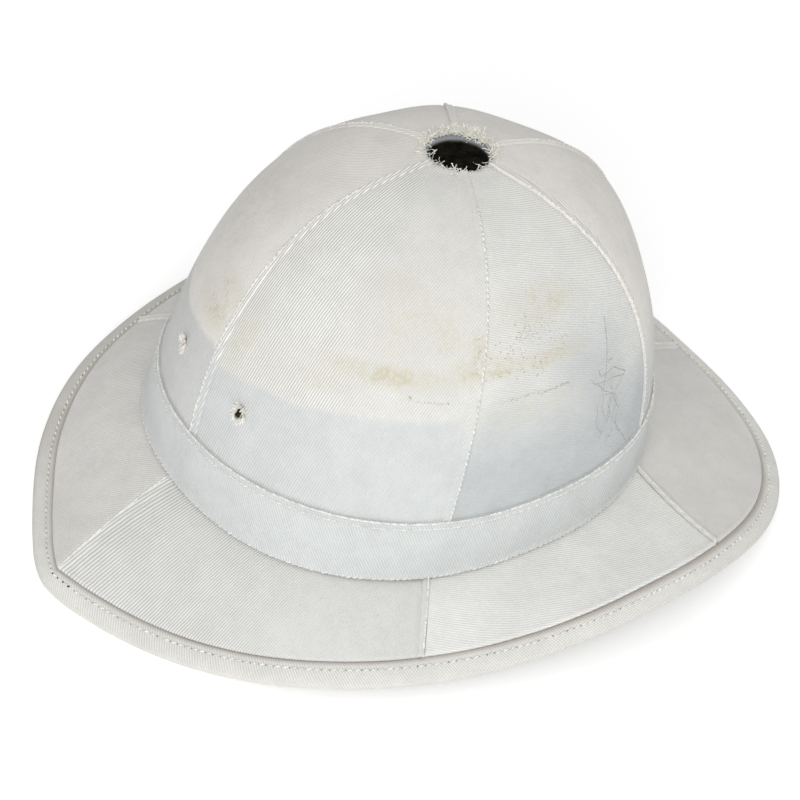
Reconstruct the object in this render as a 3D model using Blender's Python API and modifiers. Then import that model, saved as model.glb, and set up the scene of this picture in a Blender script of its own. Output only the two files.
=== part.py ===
"""White cloth-covered sun helmet with a moulded cork shell.

The hat faces -Y and the wearer's left is +X. It stands on its brim: the floor is z = 0, and the
origin is the middle of the hat's footprint. Six crown gores and six brim panels of twill cover the
shell, a folded band goes round the foot of the crown, and a tape binds the brim's edge. The round
vent at the top has lost its cap, and two badge holes stand astride the front seam.
"""

from bisect import bisect_right
from math import asin, cos, pi, radians, sin

import bmesh
import bpy
from mathutils import Vector

MM = 0.001

# Crown, measured over the cloth
CROWN_LENGTH = 224.0 * MM
CROWN_WIDTH = 197.4 * MM
CROWN_HEIGHT = 137.6 * MM
CROWN_TOP_SETBACK = 15.4 * MM
FOOT_HEIGHT = 30.0 * MM
FOOT_FRONT_RISE = 2.1 * MM
FOOT_SIDE_DROP = 1.6 * MM
PANEL_FLATNESS = 0.038
VENT_FLATNESS = 0.015
VENT_FLATNESS_POWER = 6
SEAM_SWING_POWER = 1.5

# Powers of the rounded curves: 2 is an ellipse, and more is squarer
OVAL_FOOT_POWER = 2.29
OVAL_TOP_POWER = 1.79
SHOULDER_POWER = 2.2
SHOULDER_FRONT_MORE = 0.76
SHOULDER_REAR_LESS = 0.06
DOME_POWER = 3.25
DOME_FRONT_LESS = 0.59
DOME_REAR_LESS = 0.55

# Brim, measured outwards from the foot of the crown
BRIM_FRONT = 64.3 * MM
BRIM_SIDE = 47.5 * MM
BRIM_REAR = 64.7 * MM
BRIM_SIDE_LIFT = 20.6 * MM
BRIM_ARCH = 2.0 * MM
RIDGE_INSET = 9.1 * MM
RIDGE_RISE = 6.7 * MM

# Walls and clearances
SHELL_WALL = 2.6 * MM
CROWN_CLOTH = 1.2 * MM
BRIM_CLOTH = 2.2 * MM
TAPE = 0.9 * MM
GAP = 0.3 * MM
SEAM_GAP = 0.4 * MM
REST_PRESS = 0.25 * MM

# Seam laps
LAP_WIDTH = 6.5 * MM
LAP_STEP = 1.0 * MM
LAP_RISE = 0.4 * MM
LAP_MOST_SHARE = 0.22

# Hat band
BAND_HEIGHT = 29.2 * MM
BAND_WALL = 1.2 * MM
BAND_BEAD = 0.6 * MM
BAND_START = LAP_RISE + GAP

# Openings
VENT_RADIUS = 13.4 * MM
CLOTH_VENT_RADIUS = 14.4 * MM
BADGE_HOLE_RADIUS = 1.9 * MM
BADGE_HOLE_SIDES = 10
CUTTER_OVERRUN = 6.0 * MM

# Where the tape stops short of the brim panels, and how far the panels reach under the crown's cloth
TAPE_SETBACK = 1.4 * MM
BRIM_TUCK = CROWN_CLOTH / 2

# Seams in order round the hat from the front towards the wearer's left, in degrees: where the brim's
# seam meets the edge and the crown's foot, and where the crown's seam meets the band and the vent. lap
# is 1 where the panel after the seam lies on top, and -1 where the panel before it does.
SEAMS = (
    {"edge": 0.0, "foot": -3.0, "band": 0.0, "vent": 0.0, "lap": 1},
    {"edge": 61.5, "foot": 69.8, "band": 70.6, "vent": 70.5, "lap": -1},
    {"edge": 119.6, "foot": 130.0, "band": 124.8, "vent": 112.7, "lap": 1},
    {"edge": 180.0, "foot": 180.0, "band": 180.0, "vent": 180.0, "lap": -1},
    {"edge": 240.4, "foot": 230.0, "band": 235.2, "vent": 247.3, "lap": -1},
    {"edge": 298.5, "foot": 290.2, "band": 289.4, "vent": 289.5, "lap": 1},
)
PANEL_NAMES = (
    "front_left",
    "side_left",
    "rear_left",
    "rear_right",
    "side_right",
    "front_right",
)
PANEL_COUNT = len(SEAMS)

# The brim, mirrored left to right. swell is its reach beyond the crown as a share of the rounded blend
# of the front, side and rear widths, lift is the edge's height as a share of the side lift, and arch is
# how far the brim bulges upwards between the crown and the ridge, as a share of the brim's arch.
BRIM_LINES = (
    {"angle": 0.0, "swell": 1.000, "lift": 0.112, "arch": 1.0},
    {"angle": 4.0, "swell": 0.969, "lift": 0.077, "arch": 1.0},
    {"angle": 9.0, "swell": 0.903, "lift": 0.020, "arch": 1.0},
    {"angle": 15.0, "swell": 0.840, "lift": 0.002, "arch": 1.0},
    {"angle": 30.0, "swell": 0.779, "lift": 0.195, "arch": 1.2},
    {"angle": 45.0, "swell": 0.782, "lift": 0.405, "arch": 1.4},
    {"angle": 60.0, "swell": 0.824, "lift": 0.519, "arch": 1.5},
    {"angle": 75.0, "swell": 0.907, "lift": 0.648, "arch": 1.1},
    {"angle": 90.0, "swell": 1.000, "lift": 0.852, "arch": 0.3},
    {"angle": 105.0, "swell": 1.065, "lift": 0.990, "arch": -0.5},
    {"angle": 120.0, "swell": 1.131, "lift": 0.907, "arch": -1.0},
    {"angle": 135.0, "swell": 1.171, "lift": 0.590, "arch": -1.0},
    {"angle": 150.0, "swell": 1.131, "lift": 0.253, "arch": -0.8},
    {"angle": 165.0, "swell": 1.042, "lift": 0.060, "arch": -0.6},
    {"angle": 180.0, "swell": 1.000, "lift": 0.000, "arch": -0.5},
)

# Rings of the crown's mesh, as shares of the crown's height, below the ring at the vent
CROWN_RINGS = (0.11, 0.24, 0.38, 0.52, 0.65, 0.77, 0.87, 0.945, 0.985)
SHELL_LOW_RING = 0.015
BRIM_RINGS = (0.33, 0.67, 1.0)
MIDDLE_SPANS = 6

# The band's section from its foot up: height as a share of the band, and how far the bead stands out
BAND_SECTION = (
    {"height": 0.00, "bead": 0.50},
    {"height": 0.05, "bead": 1.00},
    {"height": 0.11, "bead": 0.10},
    {"height": 0.84, "bead": 0.10},
    {"height": 0.89, "bead": 0.70},
    {"height": 0.94, "bead": 0.30},
    {"height": 1.00, "bead": 0.60},
)

# The tape's round edge, in degrees above and below the middle of the brim's thickness
TAPE_ROUND = (90.0, 45.0, 0.0, -45.0, -90.0)

# Badge holes: the panel they pierce, the share across it, and the share of the crown's height
BADGE_HOLES = (
    {"panel": 0, "share": 0.205, "rise": 0.405},
    {"panel": 5, "share": 0.795, "rise": 0.405},
)

TWILL_WHITE = (0.80, 0.80, 0.77, 1.0)
BAND_WHITE = (0.76, 0.79, 0.79, 1.0)
TAPE_WHITE = (0.78, 0.78, 0.75, 1.0)
CORK_BROWN = (0.12, 0.10, 0.07, 1.0)

# Numerical steps: for slopes, and for finding the ring at the vent
SMALL_STEP = 0.002
VENT_SEARCH_LOW = 0.9
VENT_SEARCH_STEPS = 40


def signed_power(value, power):
    """The value's size raised to a power, with its sign kept."""
    return abs(value) ** power * (1 if value >= 0 else -1)


def from_table(rows, key, column, value):
    """A smooth curve through one column of a table whose ends are mirrored."""
    keys = [row[key] for row in rows]
    values = [row[column] for row in rows]
    i = min(max(bisect_right(keys, value) - 1, 0), len(keys) - 2)

    def slope(j):
        if j in (0, len(keys) - 1):
            return 0.0
        before = (values[j] - values[j - 1]) / (keys[j] - keys[j - 1])
        after = (values[j + 1] - values[j]) / (keys[j + 1] - keys[j])
        share = (keys[j] - keys[j - 1]) / (keys[j + 1] - keys[j - 1])
        return before * (1 - share) + after * share

    span = keys[i + 1] - keys[i]
    t = (value - keys[i]) / span
    return (
        values[i] * (1 + 2 * t) * (1 - t) ** 2
        + slope(i) * span * t * (1 - t) ** 2
        + values[i + 1] * t * t * (3 - 2 * t)
        - slope(i + 1) * span * t * t * (1 - t)
    )


def seam_value(panel, share, column):
    """An angle between the two seams of a panel, in degrees."""
    start = SEAMS[panel][column]
    end = SEAMS[(panel + 1) % PANEL_COUNT][column]
    if panel == PANEL_COUNT - 1:
        end += 360.0
    return start + (end - start) * share


def facing(angle):
    """How much a place faces the front and the rear."""
    front = max(cos(angle), 0.0) ** 2
    rear = max(-cos(angle), 0.0) ** 2
    return front, rear


def dome_power(angle):
    """The power of the crown's side profile at an angle round the hat."""
    front, rear = facing(angle)
    return DOME_POWER - DOME_FRONT_LESS * front - DOME_REAR_LESS * rear


def foot_height(angle):
    """Height of the crown's foot above the lowest point of the brim's edge."""
    return FOOT_HEIGHT + FOOT_FRONT_RISE * cos(angle) + FOOT_SIDE_DROP * cos(2 * angle)


def crown_angle(panel, share, rise):
    """The angle round the hat of a point on a gore, in radians."""
    band = seam_value(panel, share, "band")
    vent = seam_value(panel, share, "vent")
    climb = asin(min(rise, 1.0) ** (dome_power(radians(band)) / 2)) / (pi / 2)
    return radians(band + (vent - band) * climb**SEAM_SWING_POWER)


def crown_point(panel, share, rise):
    """A point on the outside of the crown's cloth."""
    return crown_surface(crown_angle(panel, share, rise), share, rise)


def crown_surface(angle, share, rise):
    """A point on the crown at an angle round the hat, where share is the place across its gore."""
    front, rear = facing(angle)
    shoulder = SHOULDER_POWER + SHOULDER_FRONT_MORE * front - SHOULDER_REAR_LESS * rear
    dome = dome_power(angle)
    spread = (1 - min(rise, 1.0) ** dome) ** (1 / shoulder)
    oval = 2 / (OVAL_FOOT_POWER + (OVAL_TOP_POWER - OVAL_FOOT_POWER) * rise)
    climb = asin(min(rise, 1.0) ** (dome / 2))
    hollow = (cos(2 * pi * share) - 1) / 2
    hollow *= PANEL_FLATNESS * sin(2 * climb) + VENT_FLATNESS * sin(climb) ** VENT_FLATNESS_POWER
    x = CROWN_WIDTH / 2 * signed_power(sin(angle), oval) * spread
    y = CROWN_TOP_SETBACK * rise
    y -= CROWN_LENGTH / 2 * signed_power(cos(angle), oval) * spread
    foot = foot_height(angle)
    z = foot + (FOOT_HEIGHT + CROWN_HEIGHT - foot) * rise
    return Vector((x * (1 + hollow), y * (1 + hollow), z))


def rise_at_height(panel, share, height):
    """The share of the crown's height at a height above its foot."""
    foot = foot_height(crown_angle(panel, share, 0.0))
    return height / (FOOT_HEIGHT + CROWN_HEIGHT - foot)


def rise_at_radius(panel, share, radius):
    """The share of the crown's height where it is a given distance from the vent's axis."""
    low, high = VENT_SEARCH_LOW, 1.0
    for _ in range(VENT_SEARCH_STEPS):
        middle = (low + high) / 2
        point = crown_point(panel, share, middle)
        away = Vector((point.x, point.y - CROWN_TOP_SETBACK)).length
        low, high = (middle, high) if away > radius else (low, middle)
    return low


def normal_of(surface, panel, share, place):
    """The outward normal of a surface given as a function of panel, share and place."""
    low = max(place - SMALL_STEP, 0.0)
    high = min(place + SMALL_STEP, 1.0)
    across = surface(panel, share + SMALL_STEP, place) - surface(panel, share - SMALL_STEP, place)
    along = surface(panel, share, high) - surface(panel, share, low)
    if surface is brim_point:
        along = -along
    return across.cross(along).normalized()


def crown_inside(panel, share, rise, depth):
    """A point below the crown's surface, or above it where the depth is negative."""
    return crown_point(panel, share, rise) - normal_of(crown_point, panel, share, rise) * depth


def brim_share(turn, column):
    """One of the brim's shares at an angle round the hat, in degrees."""
    mirrored = abs((turn + 180.0) % 360.0 - 180.0)
    return from_table(BRIM_LINES, "angle", column, mirrored)


def edge_point(panel, share):
    """A point on the outermost line of the brim, at half its thickness."""
    turn = seam_value(panel, share, "edge")
    angle = radians(turn)
    front, rear = facing(angle)
    width = BRIM_FRONT * front + BRIM_REAR * rear + BRIM_SIDE * (1 - front - rear)
    oval = (abs(sin(angle)) * 2 / CROWN_WIDTH) ** OVAL_FOOT_POWER
    oval += (abs(cos(angle)) * 2 / CROWN_LENGTH) ** OVAL_FOOT_POWER
    reach = oval ** (-1 / OVAL_FOOT_POWER) + width * brim_share(turn, "swell")
    lift = BRIM_SIDE_LIFT * brim_share(turn, "lift")
    return Vector((reach * sin(angle), -reach * cos(angle), lift))


def foot_point(panel, share):
    """A point on the crown's foot, in line with a place on a brim panel."""
    return crown_surface(radians(seam_value(panel, share, "foot")), share, 0.0)


def ridge_point(panel, share):
    """A point on the raised outer edge of the brim's panels."""
    edge = edge_point(panel, share)
    inward = foot_point(panel, share) - edge
    inward.z = 0.0
    return edge + inward.normalized() * RIDGE_INSET + Vector((0, 0, RIDGE_RISE))


def brim_point(panel, share, out):
    """A point on top of the brim's cloth, from the crown's foot at 0 to the ridge at 1."""
    foot = foot_point(panel, share)
    ridge = ridge_point(panel, share)
    arch = BRIM_ARCH * brim_share(seam_value(panel, share, "edge"), "arch")
    return foot.lerp(ridge, out) + Vector((0, 0, 4 * arch * out * (1 - out)))


def brim_normal(panel, share, out):
    """The upward normal of the brim's cloth."""
    return normal_of(brim_point, panel, share, out)


def brim_plan(panel, share):
    """The brim's plan direction outwards, and the plan distance from the foot to the ridge."""
    outward = ridge_point(panel, share) - foot_point(panel, share)
    outward.z = 0.0
    return outward.normalized(), outward.length


def brim_inside(panel, share, out, depth):
    """A point below the brim's cloth, or above it where the depth is negative."""
    return brim_point(panel, share, out) - brim_normal(panel, share, out) * depth


def brim_start(panel, share, inset, depth):
    """The place on the brim whose underside, at a depth, lies a distance inside the crown's foot."""
    outward, length = brim_plan(panel, share)
    return (depth * brim_normal(panel, share, 0.0).dot(outward) - inset) / length


def panel_shares(width, lap_step):
    """Shares across a panel of the mesh's lines: the two laps' edges, and even spans between them."""
    lap = min(LAP_WIDTH / width, LAP_MOST_SHARE)
    foot = lap + lap_step / width
    middle = [foot + (1 - 2 * foot) * i / MIDDLE_SPANS for i in range(MIDDLE_SPANS + 1)]
    return [0.0, lap] + middle + [1 - lap, 1.0]


def ring_shares(surface, panel, place):
    """The shares across a panel at one ring of a surface."""
    width = (surface(panel, 1.0, place) - surface(panel, 0.0, place)).length
    return panel_shares(width, LAP_STEP)


def lap_lifts(panel):
    """How far each of the mesh's lines is raised by the laps at the panel's two seams."""
    start = LAP_RISE if SEAMS[panel]["lap"] == 1 else 0.0
    end = LAP_RISE if SEAMS[(panel + 1) % PANEL_COUNT]["lap"] == -1 else 0.0
    return [start, start] + [0.0] * (MIDDLE_SPANS + 1) + [end, end]


def whole_ring(surface, place, point_at):
    """One ring of points right round the hat, where point_at takes a panel and a share."""
    ring = []
    for panel in range(PANEL_COUNT):
        ring += [point_at(panel, share) for share in ring_shares(surface, panel, place)[:-1]]
    return ring


def panel_row(surface, panel, place, wall, point_at):
    """One row of points across a panel, drawn in at both seams so that its wall clears the next panel."""
    lifts = lap_lifts(panel)
    shares = ring_shares(surface, panel, place)
    row = [point_at(share, lift) for share, lift in zip(shares, lifts)]
    for end, beside in ((0, 1), (-1, -2)):
        towards = (row[beside] - row[end]).normalized()
        lean = normal_of(surface, panel, shares[beside], place).dot(towards)
        row[end] = row[end] + towards * (SEAM_GAP / 2 + wall * max(lean, 0.0))
    return row


def edge_frame(panel, share):
    """The brim's edge point, with the directions outwards and upwards of its bound rim."""
    edge = edge_point(panel, share)
    sunk = BRIM_CLOTH + GAP + SHELL_WALL / 2
    root = brim_inside(panel, share, 1.0, sunk)
    outward = (edge - root).normalized()
    along = edge_point(panel, share + SMALL_STEP) - edge_point(panel, share - SMALL_STEP)
    upward = outward.cross(along).normalized()
    return root, edge, outward, upward


def tape_section(panel, share):
    """The tape's outer section, from the ridge over the brim's edge and back underneath."""
    root, edge, outward, upward = edge_frame(panel, share)
    half = SHELL_WALL / 2 + GAP + TAPE
    inner = root + outward * TAPE_SETBACK
    middle = (inner + edge - outward * half) / 2
    section = [inner + upward * half, middle + upward * half]
    for turn in TAPE_ROUND:
        angle = radians(turn)
        section.append(edge + outward * (half * (cos(angle) - 1)) + upward * (half * sin(angle)))
    return section + [middle - upward * half, inner - upward * half]


def mesh_object(name, rows, closed, colour, collection, roughness=0.85):
    """An object whose mesh joins rows of points, top row first, into an open sheet facing out."""
    mesh = bpy.data.meshes.new(name)
    build = bmesh.new()
    grid = [[build.verts.new(point) for point in row] for row in rows]
    count = len(grid[0])
    for upper, lower in zip(grid, grid[1:]):
        for i in range(count if closed else count - 1):
            j = (i + 1) % count
            build.faces.new((upper[i], lower[i], lower[j], upper[j]))
    build.to_mesh(mesh)
    build.free()
    mesh.shade_smooth()
    thing = bpy.data.objects.new(name, mesh)
    collection.objects.link(thing)
    material = bpy.data.materials.new(name)
    material.use_nodes = True
    shader = material.node_tree.nodes["Principled BSDF"]
    shader.inputs["Base Color"].default_value = colour
    shader.inputs["Roughness"].default_value = roughness
    mesh.materials.append(material)
    return thing


def thicken(thing, wall):
    """Give a sheet its wall, inwards from its outer face."""
    solidify = thing.modifiers.new("wall", "SOLIDIFY")
    solidify.thickness = wall
    solidify.offset = -1.0
    solidify.use_even_offset = True


def cut(thing, cutter):
    """Take a cutter's volume out of an object."""
    boolean = thing.modifiers.new(cutter.name, "BOOLEAN")
    boolean.operation = "DIFFERENCE"
    boolean.solver = "EXACT"
    boolean.object = cutter


def lowered(point, drop):
    """A point moved so that the hat stands on the floor, centred on the origin."""
    centre = (BRIM_REAR - BRIM_FRONT) / 2
    return Vector((point.x, point.y - centre, point.z - drop))


def make_shell(place, collection):
    """The moulded cork, from the vent down the crown and out to the brim's rim."""
    depth = CROWN_CLOTH + GAP
    sunk = BRIM_CLOTH + GAP

    def at_vent(panel, share):
        rise = rise_at_radius(panel, share, VENT_RADIUS)
        return crown_inside(panel, share, rise, depth)

    def at_corner(panel, share):
        out = brim_start(panel, share, depth, sunk)
        return brim_point(panel, share, out) - brim_normal(panel, share, 0.0) * sunk

    def at_rim(panel, share):
        _, edge, outward, upward = edge_frame(panel, share)
        half = SHELL_WALL / 2
        return edge - outward * (half + GAP + TAPE) + upward * half

    rows = [whole_ring(crown_point, CROWN_RINGS[-1], at_vent)]
    for rise in reversed((SHELL_LOW_RING,) + CROWN_RINGS):

        def at_ring(panel, share, rise=rise):
            return crown_inside(panel, share, rise, depth)

        rows.append(whole_ring(crown_point, rise, at_ring))
    rows.append(whole_ring(brim_point, 0.0, at_corner))
    for out in BRIM_RINGS:

        def at_brim_ring(panel, share, out=out):
            return brim_inside(panel, share, out, sunk)

        rows.append(whole_ring(brim_point, out, at_brim_ring))
    rows.append(whole_ring(brim_point, 1.0, at_rim))
    rows = [[place(point) for point in row] for row in rows]
    shell = mesh_object("shell", rows, True, CORK_BROWN, collection)
    thicken(shell, SHELL_WALL)
    return shell


def make_crown_panel(panel, place, collection):
    """One gore of twill, from the vent down to the brim."""

    def at_vent(share, lift):
        rise = rise_at_radius(panel, share, CLOTH_VENT_RADIUS)
        return crown_inside(panel, share, rise, -lift)

    def at_foot(share, lift):
        rise = rise_at_height(panel, share, LAP_RISE + 2 * GAP)
        return crown_inside(panel, share, rise, -lift)

    wall = CROWN_CLOTH
    rows = [panel_row(crown_point, panel, CROWN_RINGS[-1], wall, at_vent)]
    for rise in reversed(CROWN_RINGS):

        def at_ring(share, lift, rise=rise):
            return crown_inside(panel, share, rise, -lift)

        rows.append(panel_row(crown_point, panel, rise, wall, at_ring))
    rows.append(panel_row(crown_point, panel, 0.0, wall, at_foot))
    rows = [[place(point) for point in row] for row in rows]
    name = "crown_panel_" + PANEL_NAMES[panel]
    gore = mesh_object(name, rows, False, TWILL_WHITE, collection)
    thicken(gore, CROWN_CLOTH)
    return gore


def make_brim_panel(panel, place, collection):
    """One panel of twill on the brim, from under the band out to the ridge."""

    def at_start(share, lift):
        out = brim_start(panel, share, BRIM_TUCK, BRIM_CLOTH)
        return brim_point(panel, share, out) + brim_normal(panel, share, 0.0) * lift

    wall = BRIM_CLOTH
    rows = [panel_row(brim_point, panel, 0.0, wall, at_start)]
    for out in BRIM_RINGS:

        def at_ring(share, lift, out=out):
            return brim_inside(panel, share, out, -lift)

        rows.append(panel_row(brim_point, panel, out, wall, at_ring))
    rows = [[place(point) for point in row] for row in rows]
    name = "brim_panel_" + PANEL_NAMES[panel]
    cover = mesh_object(name, rows, False, TWILL_WHITE, collection)
    thicken(cover, BRIM_CLOTH)
    return cover


def make_band(place, collection):
    """The folded band round the foot of the crown, with a beaded top and foot."""
    stand_off = LAP_RISE + GAP + BAND_WALL
    rows = []
    for line in reversed(BAND_SECTION):
        height = BAND_START + (BAND_HEIGHT - BAND_START) * line["height"]
        depth = -(stand_off + BAND_BEAD * line["bead"])

        def at_line(panel, share, height=height, depth=depth):
            return crown_inside(panel, share, rise_at_height(panel, share, height), depth)

        rows.append(whole_ring(crown_point, 0.0, at_line))
    rows = [[place(point) for point in row] for row in rows]
    band = mesh_object("hat_band", rows, True, BAND_WHITE, collection)
    thicken(band, BAND_WALL)
    return band


def make_binding(sections, place, collection):
    """The tape folded over the brim's edge, pressed flat where the hat stands on it."""
    rows = []
    for line in zip(*sections):
        row = [place(point) for point in line]
        for point in row:
            point.z = max(point.z, 0.0)
        rows.append(row)
    binding = mesh_object("brim_binding", rows, True, TAPE_WHITE, collection)
    thicken(binding, TAPE)
    return binding


def make_badge_cutter(hole, index, place, collection):
    """A round cutter through the cloth and the shell, square to the crown."""
    point = place(crown_point(hole["panel"], hole["share"], hole["rise"]))
    normal = normal_of(crown_point, hole["panel"], hole["share"], hole["rise"])
    build = bmesh.new()
    bmesh.ops.create_cone(
        build,
        cap_ends=True,
        segments=BADGE_HOLE_SIDES,
        radius1=BADGE_HOLE_RADIUS,
        radius2=BADGE_HOLE_RADIUS,
        depth=2 * (CROWN_CLOTH + GAP + SHELL_WALL + CUTTER_OVERRUN),
    )
    mesh = bpy.data.meshes.new("badge_cutter_%d" % index)
    build.to_mesh(mesh)
    build.free()
    cutter = bpy.data.objects.new(mesh.name, mesh)
    cutter.location = point
    cutter.rotation_mode = "QUATERNION"
    cutter.rotation_quaternion = Vector((0, 0, 1)).rotation_difference(normal)
    cutter.hide_render = True
    cutter.display_type = "WIRE"
    collection.objects.link(cutter)
    return cutter


def new_collection(name):
    """A collection linked to the scene."""
    collection = bpy.data.collections.new(name)
    bpy.context.scene.collection.children.link(collection)
    return collection


def binding_sections():
    """The tape's sections right round the hat."""
    sections = []
    for panel in range(PANEL_COUNT):
        shares = ring_shares(brim_point, panel, 1.0)[:-1]
        sections += [tape_section(panel, share) for share in shares]
    return sections


def main():
    for thing in list(bpy.data.objects):
        bpy.data.objects.remove(thing, do_unlink=True)
    hat = new_collection("sun_helmet")
    cutters = new_collection("cutters")
    sections = binding_sections()
    lowest = min(point.z for section in sections for point in section)

    def place(point):
        return lowered(point, lowest + REST_PRESS)

    shell = make_shell(place, hat)
    gores = [make_crown_panel(panel, place, hat) for panel in range(PANEL_COUNT)]
    for panel in range(PANEL_COUNT):
        make_brim_panel(panel, place, hat)
    make_band(place, hat)
    make_binding(sections, place, hat)
    for index, hole in enumerate(BADGE_HOLES, 1):
        cutter = make_badge_cutter(hole, index, place, cutters)
        cut(shell, cutter)
        cut(gores[hole["panel"]], cutter)


main()
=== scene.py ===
"""White cloth-covered sun helmet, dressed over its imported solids.

Every piece is lofted from the same lines as the solids: gores and brim panels of twill with raised
seams, a folded band, a stitched tape round the brim, the moulded shell, and the worn places.
"""

from math import cos, pi, radians, sin

import bmesh
import bpy
import numpy as np
from bpy.props import FloatProperty, FloatVectorProperty, IntProperty, PointerProperty
from mathutils import Matrix, Vector, noise


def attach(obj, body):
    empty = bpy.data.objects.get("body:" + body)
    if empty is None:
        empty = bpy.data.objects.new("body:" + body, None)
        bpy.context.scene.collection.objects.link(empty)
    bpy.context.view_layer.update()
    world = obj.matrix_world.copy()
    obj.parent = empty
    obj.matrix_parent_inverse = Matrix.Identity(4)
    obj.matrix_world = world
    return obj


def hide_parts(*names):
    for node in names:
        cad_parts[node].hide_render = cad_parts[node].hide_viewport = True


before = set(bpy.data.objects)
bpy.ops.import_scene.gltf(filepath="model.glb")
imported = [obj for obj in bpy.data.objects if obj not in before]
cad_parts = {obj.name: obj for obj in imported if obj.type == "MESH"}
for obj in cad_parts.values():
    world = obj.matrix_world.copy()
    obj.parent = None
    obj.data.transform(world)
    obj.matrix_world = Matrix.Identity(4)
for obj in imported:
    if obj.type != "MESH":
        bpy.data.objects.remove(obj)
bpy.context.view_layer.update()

bl_info = {
    "name": "Sun Helmet",
    "version": (1, 0, 0),
    "blender": (4, 5, 0),
    "location": "View3D > Sidebar > Sun Helmet",
    "description": "Builds a cloth-covered sun helmet and its studio",
    "category": "Object",
}

MM = 0.001

# The crown and the brim, as the solids have them
CROWN_LENGTH = 224.0 * MM
CROWN_WIDTH = 197.4 * MM
CROWN_HEIGHT = 137.6 * MM
CROWN_TOP_SETBACK = 15.4 * MM
FOOT_HEIGHT = 30.0 * MM
FOOT_FRONT_RISE = 2.1 * MM
FOOT_SIDE_DROP = 1.6 * MM
PANEL_FLATNESS = 0.038
VENT_FLATNESS = 0.015
VENT_FLATNESS_POWER = 6
SEAM_SWING_POWER = 1.5
OVAL_FOOT_POWER = 2.29
OVAL_TOP_POWER = 1.79
SHOULDER_POWER = 2.2
SHOULDER_FRONT_MORE = 0.76
SHOULDER_REAR_LESS = 0.06
DOME_POWER = 3.25
DOME_FRONT_LESS = 0.59
DOME_REAR_LESS = 0.55
BRIM_FRONT = 64.3 * MM
BRIM_SIDE = 47.5 * MM
BRIM_REAR = 64.7 * MM
BRIM_SIDE_LIFT = 20.6 * MM
BRIM_ARCH = 2.0 * MM
RIDGE_INSET = 9.1 * MM
RIDGE_RISE = 6.7 * MM
RIDGE_POINT = 2.4 * MM
RIDGE_POINT_TURN = 3.0
SHELL_WALL = 2.6 * MM
CROWN_CLOTH = 1.2 * MM
BRIM_CLOTH = 2.2 * MM
TAPE = 0.9 * MM
GAP = 0.3 * MM
LAP_RISE = 0.4 * MM
BRIM_LAP_RISES = tuple(rise * MM for rise in (0.25, 0.8, 1.2, 0.8, 1.0, 0.8))
BAND_HEIGHT = 29.2 * MM
BAND_WALL = 1.2 * MM
VENT_RADIUS = 13.4 * MM
CLOTH_VENT_RADIUS = 14.4 * MM
TAPE_TUCK = 0.3 * MM
STAND = Vector((0.0, -0.2 * MM, 1.4248 * MM))


def table(keys, *rows):
    """Rows of values as dictionaries with the same keys."""
    return tuple(dict(zip(keys.split(), row)) for row in rows)


SEAMS = table(
    "edge foot band vent lap",
    (0.0, -3.0, 0.0, 0.0, 1),
    (61.5, 69.8, 70.6, 70.5, -1),
    (119.6, 130.0, 124.8, 112.7, 1),
    (180.0, 180.0, 180.0, 180.0, -1),
    (240.4, 230.0, 235.2, 247.3, -1),
    (298.5, 290.2, 289.4, 289.5, 1),
)
PANEL_NAMES = ("front_left", "side_left", "rear_left", "rear_right", "side_right", "front_right")
PANEL_COUNT = len(SEAMS)
BRIM_LINES = table(
    "angle swell lift arch",
    (0.0, 1.0, 0.112, 1.0), (4.0, 0.969, 0.077, 1.0), (9.0, 0.903, 0.02, 1.0),
    (15.0, 0.84, 0.002, 1.0), (30.0, 0.779, 0.195, 1.2), (45.0, 0.782, 0.405, 1.4),
    (60.0, 0.824, 0.519, 1.5), (75.0, 0.907, 0.648, 1.1), (90.0, 1.0, 0.852, 0.3),
    (105.0, 1.065, 0.99, -0.5), (120.0, 1.131, 0.907, -1.0), (135.0, 1.171, 0.59, -1.0),
    (150.0, 1.131, 0.253, -0.8), (165.0, 1.042, 0.06, -0.6), (180.0, 1.0, 0.0, -0.5),
)

# The way each panel was cut: degrees from across the panel to the twill's ribs
GORE_GRAIN = (74.0, -21.0, 60.0, 60.0, -21.0, 74.0)
BRIM_GRAIN = (-71.0, 20.0, -60.0, -60.0, 20.0, -71.0)
BAND_GRAIN = -60.0
TAPE_GRAIN = 55.0

# Lines across a seam's lap, as distances from the seam
LAP_LINES = tuple(d * MM for d in (0, 0.2, 0.45, 0.7, 1.0, 1.4, 1.9, 2.4, 2.8, 3.1, 3.4, 3.8, 4.6, 5.6, 7.0))
LAP_MOST = 0.42
LAP_STRIP = 3.3 * MM
FOLD_PLACE = 0.75 * MM
FOLD_REACH = 0.5 * MM
UNDER_REACH = 0.9 * MM
MIDDLE_LINES = 54
BAND_STEPS = 90
TAPE_STEPS = 110
SHELL_STEPS = 24
SMALL_STEP = 0.002
HOLE_THREADS = 190
TAPE_STITCHES_IN = 5.0 * MM
OPEN_HOLES_TURNS = (-0.5, 3.6)
SCUFF_PUSH = np.array([2.8, 0.6, 0.9]) * MM
GORE_LINES = 120
BRIM_LINES_OUT = 48

# Where the cloth stayed clean under a scarf that is gone: height of its edge by angle from the front
CLEAN_EDGE = (
    (-180.0, 100.0), (-60.0, 97.0), (-25.0, 99.0), (-12.0, 103.0), (-2.0, 105.0), (2.0, 100.0),
    (10.0, 100.5), (17.0, 103.0), (25.0, 102.0), (36.0, 103.5), (48.0, 105.0), (63.0, 106.0),
    (79.0, 104.0), (98.0, 101.0), (180.0, 100.0),
)

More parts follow.
